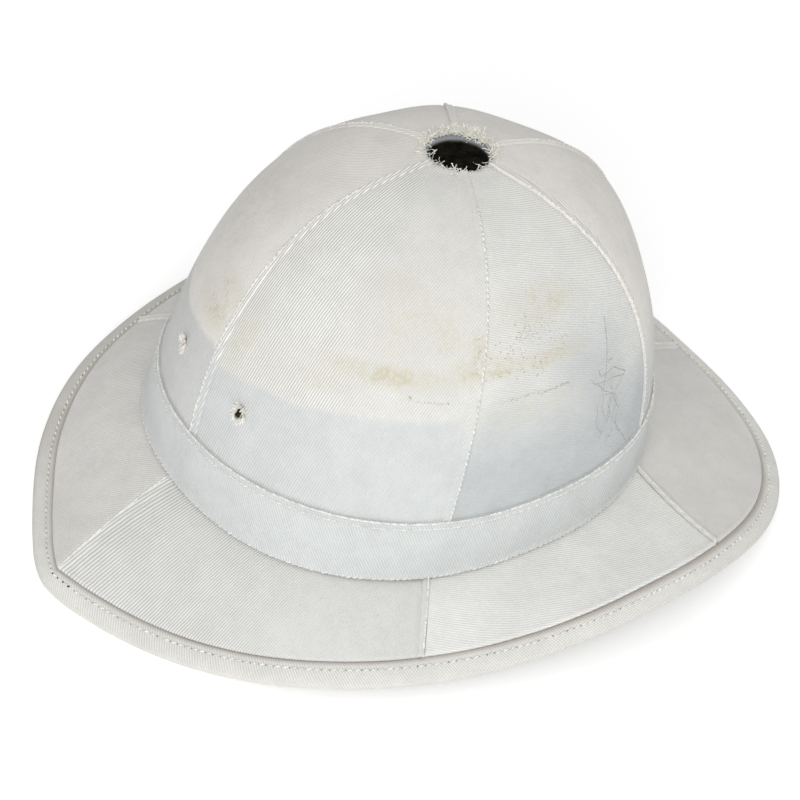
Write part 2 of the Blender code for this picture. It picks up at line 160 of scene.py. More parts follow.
# Old marks, in millimetres: place, reach along X, Y and Z, kind and strength
MARKS = table(
    "place reach kind strength",
    ((60, -42, 137), (28, 28, 18), "cream", 0.6), ((43, -42, 148), (15, 14, 6), "cream", 0.75),
    ((66, -33, 134), (10, 12, 8), "cream", 0.75), ((62, -50, 121), (36, 34, 5), "cream", 1.5),
    ((44, -76, 114), (24, 16, 5), "cream", 0.6), ((76, -27, 123.5), (9, 10, 7), "cream", 1.1),
    ((81, -12, 124), (10, 14, 4.5), "cream", 1.35), ((82, 6, 122.8), (10, 16, 4), "cream", 1.2),
    ((82, 22, 121.5), (10, 12, 4), "cream", 0.8), ((76, -21, 137), (7, 8, 18), "cream", 0.8),
    ((70, 10, 141), (14, 24, 8), "cream", 1.0), ((86, 0, 105), (12, 34, 7), "cream", 0.4),
    ((10, -90, 120), (7, 14, 26), "cream", 0.8), ((24, -84, 112), (16, 14, 12), "cream", 0.45),
    ((-14, -90, 114), (16, 14, 8), "cream", 0.95), ((-9, -84, 124), (12, 14, 7), "cream", 0.8),
    ((-12, -87, 118), (14, 14, 12), "brown", 0.5), ((76, -39, 113.2), (14, 22, 1.1), "brown", 0.9),
    ((87.5, -8, 110.9), (9, 16, 1.1), "brown", 1.1), ((88.3, 11, 109.5), (9, 11, 1.2), "brown", 1.25),
    ((79, 0, 128), (16, 34, 22), "brown", 0.62), ((83, -2, 122), (9, 26, 4), "brown", 0.65),
    ((78, -20, 126), (10, 9, 18), "brown", 0.6), ((84, -4, 104), (14, 30, 8), "brown", 0.4),
    ((83.8, 41.8, 109.4), (4, 4, 1.6), "brown", 1.3), ((45.5, -76.5, 111.2), (1.3, 1.3, 1.1), "brown", 1.8),
    ((70.9, -49.8, 114.1), (1.3, 1.3, 1.1), "brown", 1.8), ((97.3, 7.1, 64.9), (3, 2.0, 4.5), "dirt", 0.9),
    ((86, 40, 92), (9, 14, 26), "dirt", 0.42), ((0, 15, 168), (24, 24, 9), "dirt", 0.4),
    ((-22.6, -5.3, 166.5), (5, 5, 4), "cream", 0.7), ((-40, -60, 140), (36, 40, 36), "dirt", 0.3),
)

# Scribbled scuffs on the left side's gore, as lines of places in millimetres
SCUFFS = (
    ((75.6, 41.4, 127.1), (80.5, 41, 118), (85, 39.5, 107), (88.5, 37.4, 97.7)),
    ((87.6, 29.8, 105.5), (88, 32, 102.5), (87.4, 38, 101), (86, 45, 100.5), (85.1, 49.9, 99)),
    ((86, 34.7, 107.7), (87, 36, 104), (84.6, 44, 105), (84.1, 52.1, 99.6)),
    ((84.1, 52.1, 99.6), (86, 47, 95), (88.6, 40, 91), (90, 41, 86), (91.9, 38, 78), (93.2, 35.9, 73.9)),
    ((88.9, 38, 95), (87, 45, 92), (88.4, 46, 86), (90, 43, 82), (90.2, 47, 76), (89, 52, 68), (88, 57.2, 60.8)),
    ((90.4, 45, 74), (91.9, 42.1, 72), (92.6, 41, 68.5)),
    ((92.9, 40.2, 73.2), (91.9, 42.1, 72), (90.6, 45.5, 70)),
    ((89, 36, 100), (89.6, 37.5, 94), (90.9, 36.5, 89), (91.3, 39, 84)),
    ((88.4, 33, 103), (88.2, 38, 97), (87.6, 43, 93), (88.8, 41, 88), (89.6, 42, 84), (90.6, 40, 80)),
    ((87, 42, 98), (87.4, 44, 90), (88.6, 48, 84), (88.9, 46, 79), (90.2, 48, 73), (89.6, 51, 69)),
    ((90.6, 33, 92), (91.6, 34, 88), (92.2, 33, 84), (92.6, 35, 79), (93, 38, 76)),
)

# The badge holes: where they are, and the half width and half height of the torn opening
HOLE_SIDES = 22
HOLES = table(
    "place wide high lean",
    ((23.5, -98.9, 88.6), 1.9, 2.9, 0.15),
    ((-23.4, -98.3, 90.8), 1.5, 2.2, -0.2),
)


def signed_power(value, power):
    return np.sign(value) * np.abs(value) ** power


def smooth(value):
    value = np.clip(value, 0.0, 1.0)
    return value * value * (3 - 2 * value)


def hump(away, width):
    return np.exp(-((away / width) ** 2))


def turn_of(points):
    """Degrees round the hat from its front."""
    return np.degrees(np.arctan2(points[..., 0], -points[..., 1]))


def blended(wanted, lengths, points):
    """Places along a line of points, at the wanted lengths."""
    return np.stack([np.interp(wanted, lengths, points[:, k]) for k in range(3)], axis=-1)


def from_table(rows, key, column, value):
    """The same smooth curve through a table's column as the solids follow."""
    keys = np.array([row[key] for row in rows])
    values = np.array([row[column] for row in rows])
    spans = np.diff(keys)
    climbs = np.diff(values) / spans
    share = spans[:-1] / (keys[2:] - keys[:-2])
    slopes = np.zeros(len(keys))
    slopes[1:-1] = climbs[:-1] * (1 - share) + climbs[1:] * share
    i = np.clip(np.searchsorted(keys, value, side="right") - 1, 0, len(keys) - 2)
    span = keys[i + 1] - keys[i]
    t = (value - keys[i]) / span
    return (
        values[i] * (1 + 2 * t) * (1 - t) ** 2
        + slopes[i] * span * t * (1 - t) ** 2
        + values[i + 1] * t * t * (3 - 2 * t)
        - slopes[i + 1] * span * t * t * (1 - t)
    )


def seam_value(panel, share, column):
    start = SEAMS[panel][column]
    end = SEAMS[(panel + 1) % PANEL_COUNT][column]
    if panel == PANEL_COUNT - 1:
        end += 360.0
    return start + (end - start) * share


def facing(angle):
    front = np.maximum(np.cos(angle), 0.0) ** 2
    rear = np.maximum(-np.cos(angle), 0.0) ** 2
    return front, rear


def dome_power(angle):
    front, rear = facing(angle)
    return DOME_POWER - DOME_FRONT_LESS * front - DOME_REAR_LESS * rear


def foot_height(angle):
    return FOOT_HEIGHT + FOOT_FRONT_RISE * np.cos(angle) + FOOT_SIDE_DROP * np.cos(2 * angle)


def crown_surface(angle, share, rise):
    """Points on the crown at an angle round the hat, where share is the place across its gore."""
    front, rear = facing(angle)
    shoulder = SHOULDER_POWER + SHOULDER_FRONT_MORE * front - SHOULDER_REAR_LESS * rear
    dome = dome_power(angle)
    held = np.minimum(rise, 1.0)
    spread = (1 - held**dome) ** (1 / shoulder)
    oval = 2 / (OVAL_FOOT_POWER + (OVAL_TOP_POWER - OVAL_FOOT_POWER) * rise)
    climb = np.arcsin(held ** (dome / 2))
    hollow = (np.cos(2 * pi * share) - 1) / 2
    hollow = hollow * (
        PANEL_FLATNESS * np.sin(2 * climb) + VENT_FLATNESS * np.sin(climb) ** VENT_FLATNESS_POWER
    )
    x = CROWN_WIDTH / 2 * signed_power(np.sin(angle), oval) * spread
    y = CROWN_TOP_SETBACK * rise - CROWN_LENGTH / 2 * signed_power(np.cos(angle), oval) * spread
    foot = foot_height(angle)
    z = foot + (FOOT_HEIGHT + CROWN_HEIGHT - foot) * rise
    return np.stack([x * (1 + hollow), y * (1 + hollow), z + 0 * x], axis=-1)


def crown_point(panel, share, rise):
    band = seam_value(panel, share, "band")
    vent = seam_value(panel, share, "vent")
    held = np.maximum(np.minimum(rise, 1.0), 0.0)
    climb = np.arcsin(held ** (dome_power(np.radians(band)) / 2)) / (pi / 2)
    angle = np.radians(band + (vent - band) * climb**SEAM_SWING_POWER)
    return crown_surface(angle, share, np.maximum(rise, 0.0))


def rise_at_radius(panel, share, radius):
    low = np.full(np.shape(share), 0.9)
    high = np.ones(np.shape(share))
    for _ in range(30):
        middle = (low + high) / 2
        point = crown_point(panel, share, middle)
        away = np.hypot(point[..., 0], point[..., 1] - CROWN_TOP_SETBACK)
        low = np.where(away > radius, middle, low)
        high = np.where(away > radius, high, middle)
    return low


def rise_at_height(panel, share, height):
    foot = foot_height(np.radians(seam_value(panel, share, "band")))
    return height / (FOOT_HEIGHT + CROWN_HEIGHT - foot)


def brim_share(turn, column):
    return from_table(BRIM_LINES, "angle", column, np.abs((turn + 180.0) % 360.0 - 180.0))


def edge_point(panel, share):
    turn = seam_value(panel, share, "edge")
    angle = np.radians(turn)
    front, rear = facing(angle)
    width = BRIM_FRONT * front + BRIM_REAR * rear + BRIM_SIDE * (1 - front - rear)
    oval = (np.abs(np.sin(angle)) * 2 / CROWN_WIDTH) ** OVAL_FOOT_POWER
    oval = oval + (np.abs(np.cos(angle)) * 2 / CROWN_LENGTH) ** OVAL_FOOT_POWER
    reach = oval ** (-1 / OVAL_FOOT_POWER) + width * brim_share(turn, "swell")
    lift = BRIM_SIDE_LIFT * brim_share(turn, "lift")
    return np.stack([reach * np.sin(angle), -reach * np.cos(angle), lift], axis=-1)


def brim_point(panel, share, out):
    """Points on top of the brim's cloth, from the crown's foot at 0 to the ridge at 1."""
    foot = crown_surface(np.radians(seam_value(panel, share, "foot")), share, 0.0 * share)
    edge = edge_point(panel, share)
    inward = foot - edge
    inward[..., 2] = 0.0
    inward /= np.linalg.norm(inward, axis=-1, keepdims=True)
    turn = np.abs((seam_value(panel, share, "edge") + 180.0) % 360.0 - 180.0)
    ridge = edge + inward * (RIDGE_INSET - RIDGE_POINT * np.exp(-turn / RIDGE_POINT_TURN))[..., None]
    ridge[..., 2] += RIDGE_RISE
    arch = BRIM_ARCH * brim_share(seam_value(panel, share, "edge"), "arch")
    points = foot + (ridge - foot) * out[..., None]
    points[..., 2] += 4 * arch * out * (1 - out)
    return points


def unit(vectors):
    return vectors / np.maximum(np.linalg.norm(vectors, axis=-1, keepdims=True), 1e-12)


def normals_of(surface, panel, share, place, up):
    """Outward normals of a surface; up is the sign of its second direction."""
    low = np.maximum(place - SMALL_STEP, 0.0)
    high = np.minimum(place + SMALL_STEP, 1.0)
    across = surface(panel, share + SMALL_STEP, place) - surface(panel, share - SMALL_STEP, place)
    along = surface(panel, share, high) - surface(panel, share, low)
    return unit(np.cross(across, along * up))


def crown_normals(panel, share, place):
    return normals_of(crown_point, panel, share, place, 1.0)


def brim_normals(panel, share, place):
    return normals_of(brim_point, panel, share, place, -1.0)


def placed(points):
    return points + np.array(STAND)


def wander(points, scale, seed):
    """A smooth random number from -1 to 1 at each point."""
    shift = Vector((seed * 7.3, seed * 3.1, seed * 5.7))
    flat = points.reshape(-1, 3) / scale
    found = [noise.noise(Vector(point) + shift) for point in flat]
    return np.array(found).reshape(points.shape[:-1])


def mark_values(points):
    """Cream stains, brown specks, cleanness and dirt at each point, before the shader breaks them up; the cleanness
    also carries painted shade on the left side.
    """
    values = np.zeros(points.shape[:-1] + (4,))
    columns = {"cream": 0, "brown": 1, "dirt": 3}
    for mark in MARKS:
        away = (points - np.array(mark["place"]) * MM) / (np.array(mark["reach"]) * MM)
        fade = smooth(1.3 - np.linalg.norm(away, axis=-1))
        column = columns[mark["kind"]]
        values[..., column] = np.maximum(values[..., column], fade * mark["strength"])
    angle = turn_of(points)
    heights = np.interp(angle, [row[0] for row in CLEAN_EDGE], [row[1] for row in CLEAN_EDGE])
    blur = np.interp(np.abs(angle), (0, 42, 66, 72, 180), (1.6, 2.0, 7.0, 46.0, 46.0)) * MM
    values[..., 2] = smooth((heights * MM - points[..., 2]) / blur + 0.5)
    # Painted shade: from 84 to 130 degrees round from the front, on the left side, the cloth is greyed with the clean
    # cloth's cooler colour, fading out towards the top
    beside = smooth((angle - 84.0) / 26.0) * smooth((130.0 - angle) / 14.0)
    values[..., 2] = np.maximum(values[..., 2], 0.8 * beside * smooth((150 * MM - points[..., 2]) / (40 * MM)))
    return values


def quads(index):
    return np.stack([index[:-1, :-1], index[1:, :-1], index[1:, 1:], index[:-1, 1:]], axis=-1)


def sheet_object(name, points, wall, cloth=None, marks=None, closed=False, ribs=1.0, shade=0.0):
    """A mesh through a grid of points facing out, with its wall inwards and its cloth map."""
    rows, columns = points.shape[:2]
    index = np.arange(rows * columns).reshape(rows, columns)
    if closed:
        index = np.concatenate([index, index[:, :1]], axis=1)
    corners = quads(index)
    mesh = bpy.data.meshes.new(name)
    mesh.from_pydata(points.reshape(-1, 3).tolist(), [], corners.reshape(-1, 4).tolist())
    mesh.update()
    if cloth is not None:
        grid = np.arange(index.size).reshape(index.shape)
        looped = quads(grid).reshape(-1)
        layer = mesh.uv_layers.new(name="cloth")
        layer.data.foreach_set("uv", cloth.reshape(-1, 2)[looped].astype(np.float32).reshape(-1))
    if marks is not None:
        attribute = mesh.attributes.new("marks", "FLOAT_COLOR", "POINT")
        attribute.data.foreach_set("color", marks.astype(np.float32).reshape(-1))
    for label, values in (("rib_depth", ribs), ("shade", shade)):
        attribute = mesh.attributes.new(label, "FLOAT", "POINT")
        attribute.data.foreach_set("value", np.broadcast_to(values, (rows, columns)).astype(np.float32).reshape(-1))
    thing = bpy.data.objects.new(name, mesh)
    bpy.context.scene.collection.objects.link(thing)
    if wall:
        solidify = thing.modifiers.new("wall", "SOLIDIFY")
        solidify.thickness = wall
        solidify.offset = -1.0
    return thing


def settle(thing):
    """Turn an object's modifiers into plain mesh, with smooth faces."""
    graph = bpy.context.evaluated_depsgraph_get()
    graph.update()
    mesh = bpy.data.meshes.new_from_object(thing.evaluated_get(graph))
    thing.modifiers.clear()
    thing.data = mesh
    mesh.name = thing.name
    mesh.shade_smooth()


def finish_piece(thing, material, nodes=()):
    thing.data.materials.clear()
    thing.data.materials.append(material)
    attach(thing, "root")
    if nodes:
        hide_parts(*nodes)


def faded_rib_shade(points, panel, fade, start):
    """How strong the painted shade in the rib grooves is: on the front left panels it fades towards the side."""
    if panel:
        return 1.0
    angle = turn_of(points)
    return 1.0 - fade * smooth((angle - start) / 24.0)


def declare_sheet(points, width, length):
    """Takes a piece's cut size as two numbers and does nothing more with them."""
    width, length = float(width), float(length)


def turned_map(across, along, degrees):
    """Cloth places turned so that the first is square to the twill's ribs."""
    angle = radians(degrees)
    first = -sin(angle) * across + cos(angle) * along
    second = cos(angle) * across + sin(angle) * along
    return np.stack([first, second], axis=-1)


def lengths_along(points):
    steps = np.linalg.norm(np.diff(points, axis=0), axis=-1)
    return np.concatenate([[0.0], np.cumsum(steps)])


def lap_shares(widths):
    """Shares across a panel for each row: lines at fixed distances by both seams, even ones between."""
    lines = np.array(LAP_LINES)
    scale = np.minimum(1.0, LAP_MOST * widths / lines[-1])
    lap = lines[None, :] * scale[:, None] / widths[:, None]
    first = lap[:, -1:]
    middle = first + (1 - 2 * first) * (np.arange(1, MIDDLE_LINES) / MIDDLE_LINES)[None, :]
    return np.concatenate([lap, middle, 1 - lap[:, ::-1]], axis=1)


def seam_relief(away, on_top, rise):
    """How far the cloth stands off its surface at a distance from a seam."""
    if not on_top:
        return -0.3 * MM * hump(away, 0.8 * MM)
    strip = rise * smooth((LAP_STRIP - away) / (0.5 * MM) + 0.5)
    roll = (0.25 * MM + 0.5 * rise) * hump(away - FOLD_PLACE, FOLD_REACH)
    tuck = -0.6 * rise * hump(away - LAP_STRIP - 0.4 * MM, 0.5 * MM)
    lip = -(0.3 * MM + 1.25 * rise) * smooth(1 - away / (0.4 * MM))
    return strip + roll + tuck + lip


def panel_relief(panel, shares, widths, rises):
    after = (panel + 1) % PANEL_COUNT
    start = seam_relief(shares * widths[:, None], SEAMS[panel]["lap"] == 1, rises[panel])
    end = seam_relief((1 - shares) * widths[:, None], SEAMS[after]["lap"] == -1, rises[after])
    return start + end


def drawn_out(points, panel):
    """The border that lies under a lap moved on below it, so that the seam is closed."""
    under = (SEAMS[panel]["lap"] == -1, SEAMS[(panel + 1) % PANEL_COUNT]["lap"] == 1)
    for end, beside, lies_under in ((0, 2, under[0]), (-1, -3, under[1])):
        if lies_under:
            points[:, end] -= unit(points[:, beside] - points[:, end]) * UNDER_REACH
    return points


def row_widths(surface, panel, places):
    shares = np.linspace(0, 1, 11)
    grid = surface(panel, np.broadcast_to(shares, (len(places), 11)), places[:, None] + 0 * shares)
    return np.linalg.norm(np.diff(grid, axis=1), axis=-1).sum(axis=1)


def gore_grid(panel):
    """One gore's shares across, heights, widths and places along, down from the vent."""
    share = np.full(400, 0.5)
    top = rise_at_radius(panel, np.array([0.5]), CLOTH_VENT_RADIUS)[0]
    fine = np.sin(np.linspace(0.0, 1.0, 400) * pi / 2) ** 0.8 * top
    middle = lengths_along(crown_point(panel, share, fine))
    even = np.linspace(0, middle[-1], GORE_LINES)
    rises = np.interp(even, middle, fine)[::-1]
    along = even[::-1]
    widths = row_widths(crown_point, panel, rises)
    shares = lap_shares(widths)
    foot = rise_at_height(panel, shares[-1], LAP_RISE + 2 * GAP)
    ragged = CLOTH_VENT_RADIUS + 0.7 * MM * np.sin(shares[0] * 17 + panel * 2.3) * np.sin(shares[0] * 41 + panel)
    crest = rise_at_radius(panel, shares[0], ragged)
    part = (rises / top)[:, None]
    rise = foot[None, :] + (crest - foot)[None, :] * part
    return shares, rise, widths, along


def hole_relief(points):
    """How far the cloth is pulled up round the badge holes."""
    lift = np.zeros(points.shape[:-1])
    for hole in HOLES:
        away = np.linalg.norm(points - np.array(hole["place"]) * MM, axis=-1)
        lift += 0.45 * MM * hump(away - 3.0 * MM, 1.1 * MM)
    return lift


def cut_hole(thing, hole):
    """A ragged opening through the cloth and the shell where a badge was pinned."""
    place = Vector(hole["place"]) * MM
    axis = Vector((place.x, place.y + 15 * MM, 12 * MM)).normalized()
    build = bmesh.new()
    rings = []
    for depth in (-9 * MM, 6 * MM):
        ring = []
        for i in range(HOLE_SIDES):
            angle = 2 * pi * i / HOLE_SIDES
            ragged = 1 + 0.16 * sin(3 * angle + place.x * 900) + 0.12 * sin(7 * angle)
            x = hole["wide"] * MM * cos(angle) * ragged
            z = hole["high"] * MM * sin(angle) * ragged
            ring.append(build.verts.new((x + hole["lean"] * z, z, depth)))
        rings.append(ring)
    for i in range(HOLE_SIDES):
        j = (i + 1) % HOLE_SIDES
        build.faces.new((rings[0][i], rings[0][j], rings[1][j], rings[1][i]))
    build.faces.new(rings[0][::-1])
    build.faces.new(rings[1])
    bmesh.ops.recalc_face_normals(build, faces=build.faces)
    mesh = bpy.data.meshes.new("badge_hole_cutter")
    build.to_mesh(mesh)
    build.free()
    side = Vector((0, 0, 1)).cross(axis).normalized()
    up = axis.cross(side)
    turn = Matrix((side, up, axis)).transposed().to_4x4()
    mesh.transform(Matrix.Translation(place) @ turn)
    cutter = bpy.data.objects.new(mesh.name, mesh)
    bpy.context.scene.collection.objects.link(cutter)
    boolean = thing.modifiers.new("badge_hole", "BOOLEAN")
    boolean.operation = "DIFFERENCE"
    boolean.solver = "EXACT"
    boolean.object = cutter
    return cutter


def settle_cut(thing, holes):
    """Turn an object into plain mesh with these badge holes cut through it."""
    cutters = [cut_hole(thing, hole) for hole in holes]
    settle(thing)
    for cutter in cutters:
        bpy.data.objects.remove(cutter, do_unlink=True)


# Node helpers

FLOAT, VECTOR, INT = "NodeSocketFloat", "NodeSocketVector", "NodeSocketInt"
COLOUR, MATERIAL, GEOMETRY = "NodeSocketColor", "NodeSocketMaterial", "NodeSocketGeometry"


class Nodes:
    """A node tree, with a short call for each kind of node that repeats."""

    def __init__(self, tree):
        self.tree = tree

    def add(self, kind, inputs=None, **settings):
        """The outputs of a new node, with its settings, and its inputs set or linked."""
        node = self.tree.nodes.new(kind)
        for key, value in settings.items():
            setattr(node, key, value)
        for key, value in (inputs or {}).items():
            if isinstance(value, bpy.types.NodeSocket):
                self.tree.links.new(value, node.inputs[key])
            else:
                node.inputs[key].default_value = value
        return node.outputs

    def feed(self, sockets, values):
        for label, value in values.items():
            self.tree.links.new(value, sockets[label])

    def maths(self, operation, *values):
        return self.add("ShaderNodeMath", dict(enumerate(values)), operation=operation)[0]

    def times(self, first, second):
        return self.maths("MULTIPLY", first, second)

    def times_plus(self, first, second, third):
        return self.maths("MULTIPLY_ADD", first, second, third)

    def vectors(self, operation, inputs):
        return self.add("ShaderNodeVectorMath", inputs, operation=operation)[0]

    def mixed(self, fac, first, second, blend="MIX"):
        return self.add("ShaderNodeMix", {0: fac, 6: first, 7: second}, data_type="RGBA", blend_type=blend)[2]

    def ranged(self, *values):
        inputs = dict(enumerate(values))
        return self.add("ShaderNodeMapRange", inputs, interpolation_type="SMOOTHSTEP")[0]

    def noise(self, place, scale, detail=2.0, rough=0.5):
        inputs = {"Vector": place, "Scale": scale, "Detail": detail, "Roughness": rough}
        return self.add("ShaderNodeTexNoise", inputs)[0]

    def grey(self, value):
        return self.add("ShaderNodeCombineColor", {0: value, 1: value, 2: value})[0]

    def attribute(self, name, output="Fac"):
        return self.add("ShaderNodeAttribute", attribute_name=name)[output]

    def stored(self, name, kind="FLOAT_VECTOR"):
        return self.add("GeometryNodeInputNamedAttribute", {"Name": name}, data_type=kind)[0]


def new_tree(kind, name, inputs, outputs):
    """A group with its sockets, each given by its default value or by its kind."""
    tree = bpy.data.node_groups.new(name, kind)
    for way, sockets in (("INPUT", inputs), ("OUTPUT", outputs)):
        for label, given in sockets.items():
            named = isinstance(given, str)
            socket_kind = given if named else {float: FLOAT, int: INT}[type(given)]
            socket = tree.interface.new_socket(label, in_out=way, socket_type=socket_kind)
            if not named:
                socket.default_value = given
    return Nodes(tree), tree.nodes.new("NodeGroupInput").outputs, tree.nodes.new("NodeGroupOutput").inputs


def new_material(name, rough, specular=0.22):
    """A material, its nodes, its shader's inputs and the place on the object."""
    material = bpy.data.materials.new(name)
    material.use_nodes = True
    nodes = Nodes(material.node_tree)
    shader = nodes.tree.nodes["Principled BSDF"].inputs
    shader["Roughness"].default_value = rough
    shader["Specular IOR Level"].default_value = specular
    return material, nodes, shader, nodes.add("ShaderNodeTexCoord")["Object"]


def coat(nodes, shader, colour, strength, distance, height):
    bump = nodes.add("ShaderNodeBump", {"Strength": strength, "Distance": distance, "Height": height})[0]
    nodes.feed(shader, {"Base Color": colour, "Normal": bump})


def weave_group():
    """Twill: slanting ribs crossed by fine yarns, from places on the cloth in metres."""
    nodes, given, made = new_tree(
        "ShaderNodeTree", "Twill Weave",
        {"Cloth Place": VECTOR, "Rib Pitch": 0.00105, "Yarn Pitch": 0.0007, "Unevenness": 0.0003},
        {"Rib": FLOAT, "Height": FLOAT})
    place = given["Cloth Place"]
    parts = nodes.add("ShaderNodeSeparateXYZ", {0: place})
    slow = nodes.maths("SUBTRACT", nodes.noise(place, 160.0), 0.5)
    shifted = nodes.times_plus(slow, given["Unevenness"], parts[0])
    turns = nodes.maths("DIVIDE", shifted, given["Rib Pitch"])
    rib = nodes.ranged(nodes.maths("SINE", nodes.times(turns, 2 * pi)), -0.95, 0.75)
    yarns = nodes.maths("ADD", nodes.maths("DIVIDE", parts[1], given["Yarn Pitch"]), turns)
    yarn = nodes.times_plus(nodes.maths("SINE", nodes.times(yarns, 2 * pi)), 0.5, 0.5)
    height = nodes.times_plus(yarn, 0.22, nodes.times(rib, 0.8))
    height = nodes.times_plus(nodes.noise(place, 1500.0, 3.0, 0.7), 0.35, height)
    nodes.feed(made, {"Rib": rib, "Height": height})
    return nodes.tree


def ageing_group():
    """Old cloth: cream stains, brown specks, clean places and dirt, broken up by noise."""
    labels = ("Cream", "Brown", "Clean", "Dirt", "Mottle")
    nodes, given, made = new_tree(
        "ShaderNodeTree", "Old Cloth",
        {"Place": VECTOR, "Marks": COLOUR, "Cleanness": 0.0}, dict.fromkeys(labels, FLOAT))
    times, times_plus, ranged = nodes.times, nodes.times_plus, nodes.ranged
    parts = nodes.add("ShaderNodeSeparateColor", {0: given["Marks"]})
    noises = ((60.0, 4.0, 0.6), (190.0, 4.0, 0.65), (620.0, 3.0, 0.6), (1250.0, 2.0, 0.5))
    broad, middle, fine, specks = (nodes.noise(given["Place"], *settings) for settings in noises)
    cream = parts[0]
    for grain, low, high in ((broad, 0.36, 0.6), (middle, 0.38, 0.56), (fine, 0.36, 0.58)):
        cream = times(cream, ranged(grain, low, high, 0.45, 1.0))
    wanted = times_plus(parts[1], -0.2, 0.73)
    brown = nodes.maths("SUBTRACT", times_plus(specks, 0.75, times(middle, 0.25)), wanted)
    brown = times(ranged(brown, -0.05, 0.02), ranged(parts[1], 0.02, 0.3))
    clean = nodes.maths("MAXIMUM", parts[2], given["Cleanness"])
    dirt = times(ranged(middle, 0.4, 0.62), 0.6)
    dirt = nodes.maths("ADD", dirt, times(ranged(fine, 0.5, 0.66), 0.5))
    dirt = times(dirt, nodes.attribute("marks", "Alpha"))
    mottle = times_plus(broad, 0.4, times(middle, 0.25))
    mottle = times_plus(specks, 0.35, mottle)
    nodes.feed(made, dict(zip(labels, (cream, brown, clean, dirt, mottle))))
    return nodes.tree


def cloth_material(name, shared, pitch, contrast, clean=0.0, wear=True, tint=(1.0, 1.0, 1.0), cool_tint=None):
    """White twill, with its weave on the cloth's own map and its age on the hat's places."""
    material, nodes, shader, place = new_material(name, 0.88)
    times, mixed = nodes.times, nodes.mixed
    cloth = nodes.add("ShaderNodeUVMap", uv_map="cloth")[0]
    weave = nodes.add("ShaderNodeGroup", {"Cloth Place": cloth, "Rib Pitch": pitch}, node_tree=shared["weave"])
    inputs = {"Place": place, "Marks": nodes.attribute("marks", "Color"), "Cleanness": clean}
    age = nodes.add("ShaderNodeGroup", inputs, node_tree=shared["age"])
    warm = tuple(a * b for a, b in zip(shared["cloth"], tint)) + (1.0,)
    cool = tuple(a * b for a, b in zip(shared["clean"], cool_tint or tint)) + (1.0,)
    colour = mixed(age["Clean"], warm, cool)
    # Painted shade: the grooves between the ribs are mixed towards a grey, less on clean cloth, and where rib_depth
    # fades them the same shade is spread evenly
    depth = nodes.times_plus(age["Clean"], -0.45 * contrast, contrast)
    ribs = nodes.attribute("rib_depth")
    even = times(nodes.maths("SUBTRACT", 1.0, ribs), times(depth, 0.42))
    groove = times(nodes.maths("SUBTRACT", 1.0, weave["Rib"]), times(depth, ribs))
    colour = mixed(nodes.maths("ADD", groove, even), colour, (0.36, 0.36, 0.35, 1.0))
    mottle = nodes.grey(nodes.ranged(age["Mottle"], 0.36, 0.64, 0.93, 1.04))
    colour = mixed(1.0, colour, mottle, "MULTIPLY")
    stains = (("Cream", 0.8, (0.60, 0.565, 0.44, 1.0)), ("Brown", 0.6, (0.33, 0.28, 0.16, 1.0)),
              ("Dirt", 0.6, (0.30, 0.265, 0.24, 1.0)))
    for label, strength, stain in stains if wear else stains[2:]:
        colour = mixed(times(age[label], strength), colour, stain)
    colour = mixed(nodes.attribute("shade"), colour, (0.40, 0.36, 0.32, 1.0))
    coat(nodes, shader, colour, 0.65, 0.0002, weave["Height"])
    return material


def thread_material(name, colour, painted_glow=0.0):
    """Cotton thread in a plain colour broken up by fine noise; its emission strength is painted light that brightens
    the thin threads.
    """
    material, nodes, shader, place = new_material(name, 0.9)
    tone = nodes.ranged(nodes.noise(place, 700.0, 3.0), 0.35, 0.65)
    dark, pale = (tuple(part * share for part in colour) + (1.0,) for share in (0.72, 1.0))
    shader["Emission Color"].default_value = pale
    shader["Emission Strength"].default_value = painted_glow
    coat(nodes, shader, nodes.mixed(tone, dark, pale), 0.4, 0.0001, nodes.noise(place, 2500.0))
    return material


def shell_material(name):
    """The moulded body: dark, dusty and mottled inside, greyer near the vent; its near-black colour is partly the
    body's own dark finish and partly painted shade for the hollow inside.
    """
    material, nodes, shader, place = new_material(name, 0.95)
    height = nodes.add("ShaderNodeSeparateXYZ", {0: place})[2]
    grains = nodes.noise(place, 260.0, 5.0, 0.65)
    colour = nodes.mixed(nodes.ranged(grains, 0.35, 0.68), (0.016, 0.015, 0.011, 1.0), (0.075, 0.07, 0.045, 1.0))
    colour = nodes.mixed(nodes.ranged(height, 0.1645, 0.1665), colour, (0.34, 0.37, 0.39, 1.0))
    coat(nodes, shader, colour, 0.6, 0.0004, grains)
    return material


# Geometry Nodes trees


def finish_tree(nodes, given, made, geometry):
    real = nodes.add("GeometryNodeRealizeInstances", {"Geometry": geometry})[0]
    soft = nodes.add("GeometryNodeSetShadeSmooth", {"Geometry": real})[0]
    worn = nodes.add("GeometryNodeSetMaterial", {"Geometry": soft, "Material": given["Material"]})[0]
    nodes.feed(made, {"Geometry": worn})
    return nodes.tree


def on_points(nodes, given, instance, turn, size):
    points = nodes.add("GeometryNodeMeshToPoints", {"Mesh": given["Geometry"]})[0]
    inputs = {"Points": points, "Instance": instance, "Rotation": turn, "Scale": size}
    return nodes.add("GeometryNodeInstanceOnPoints", inputs)[0]


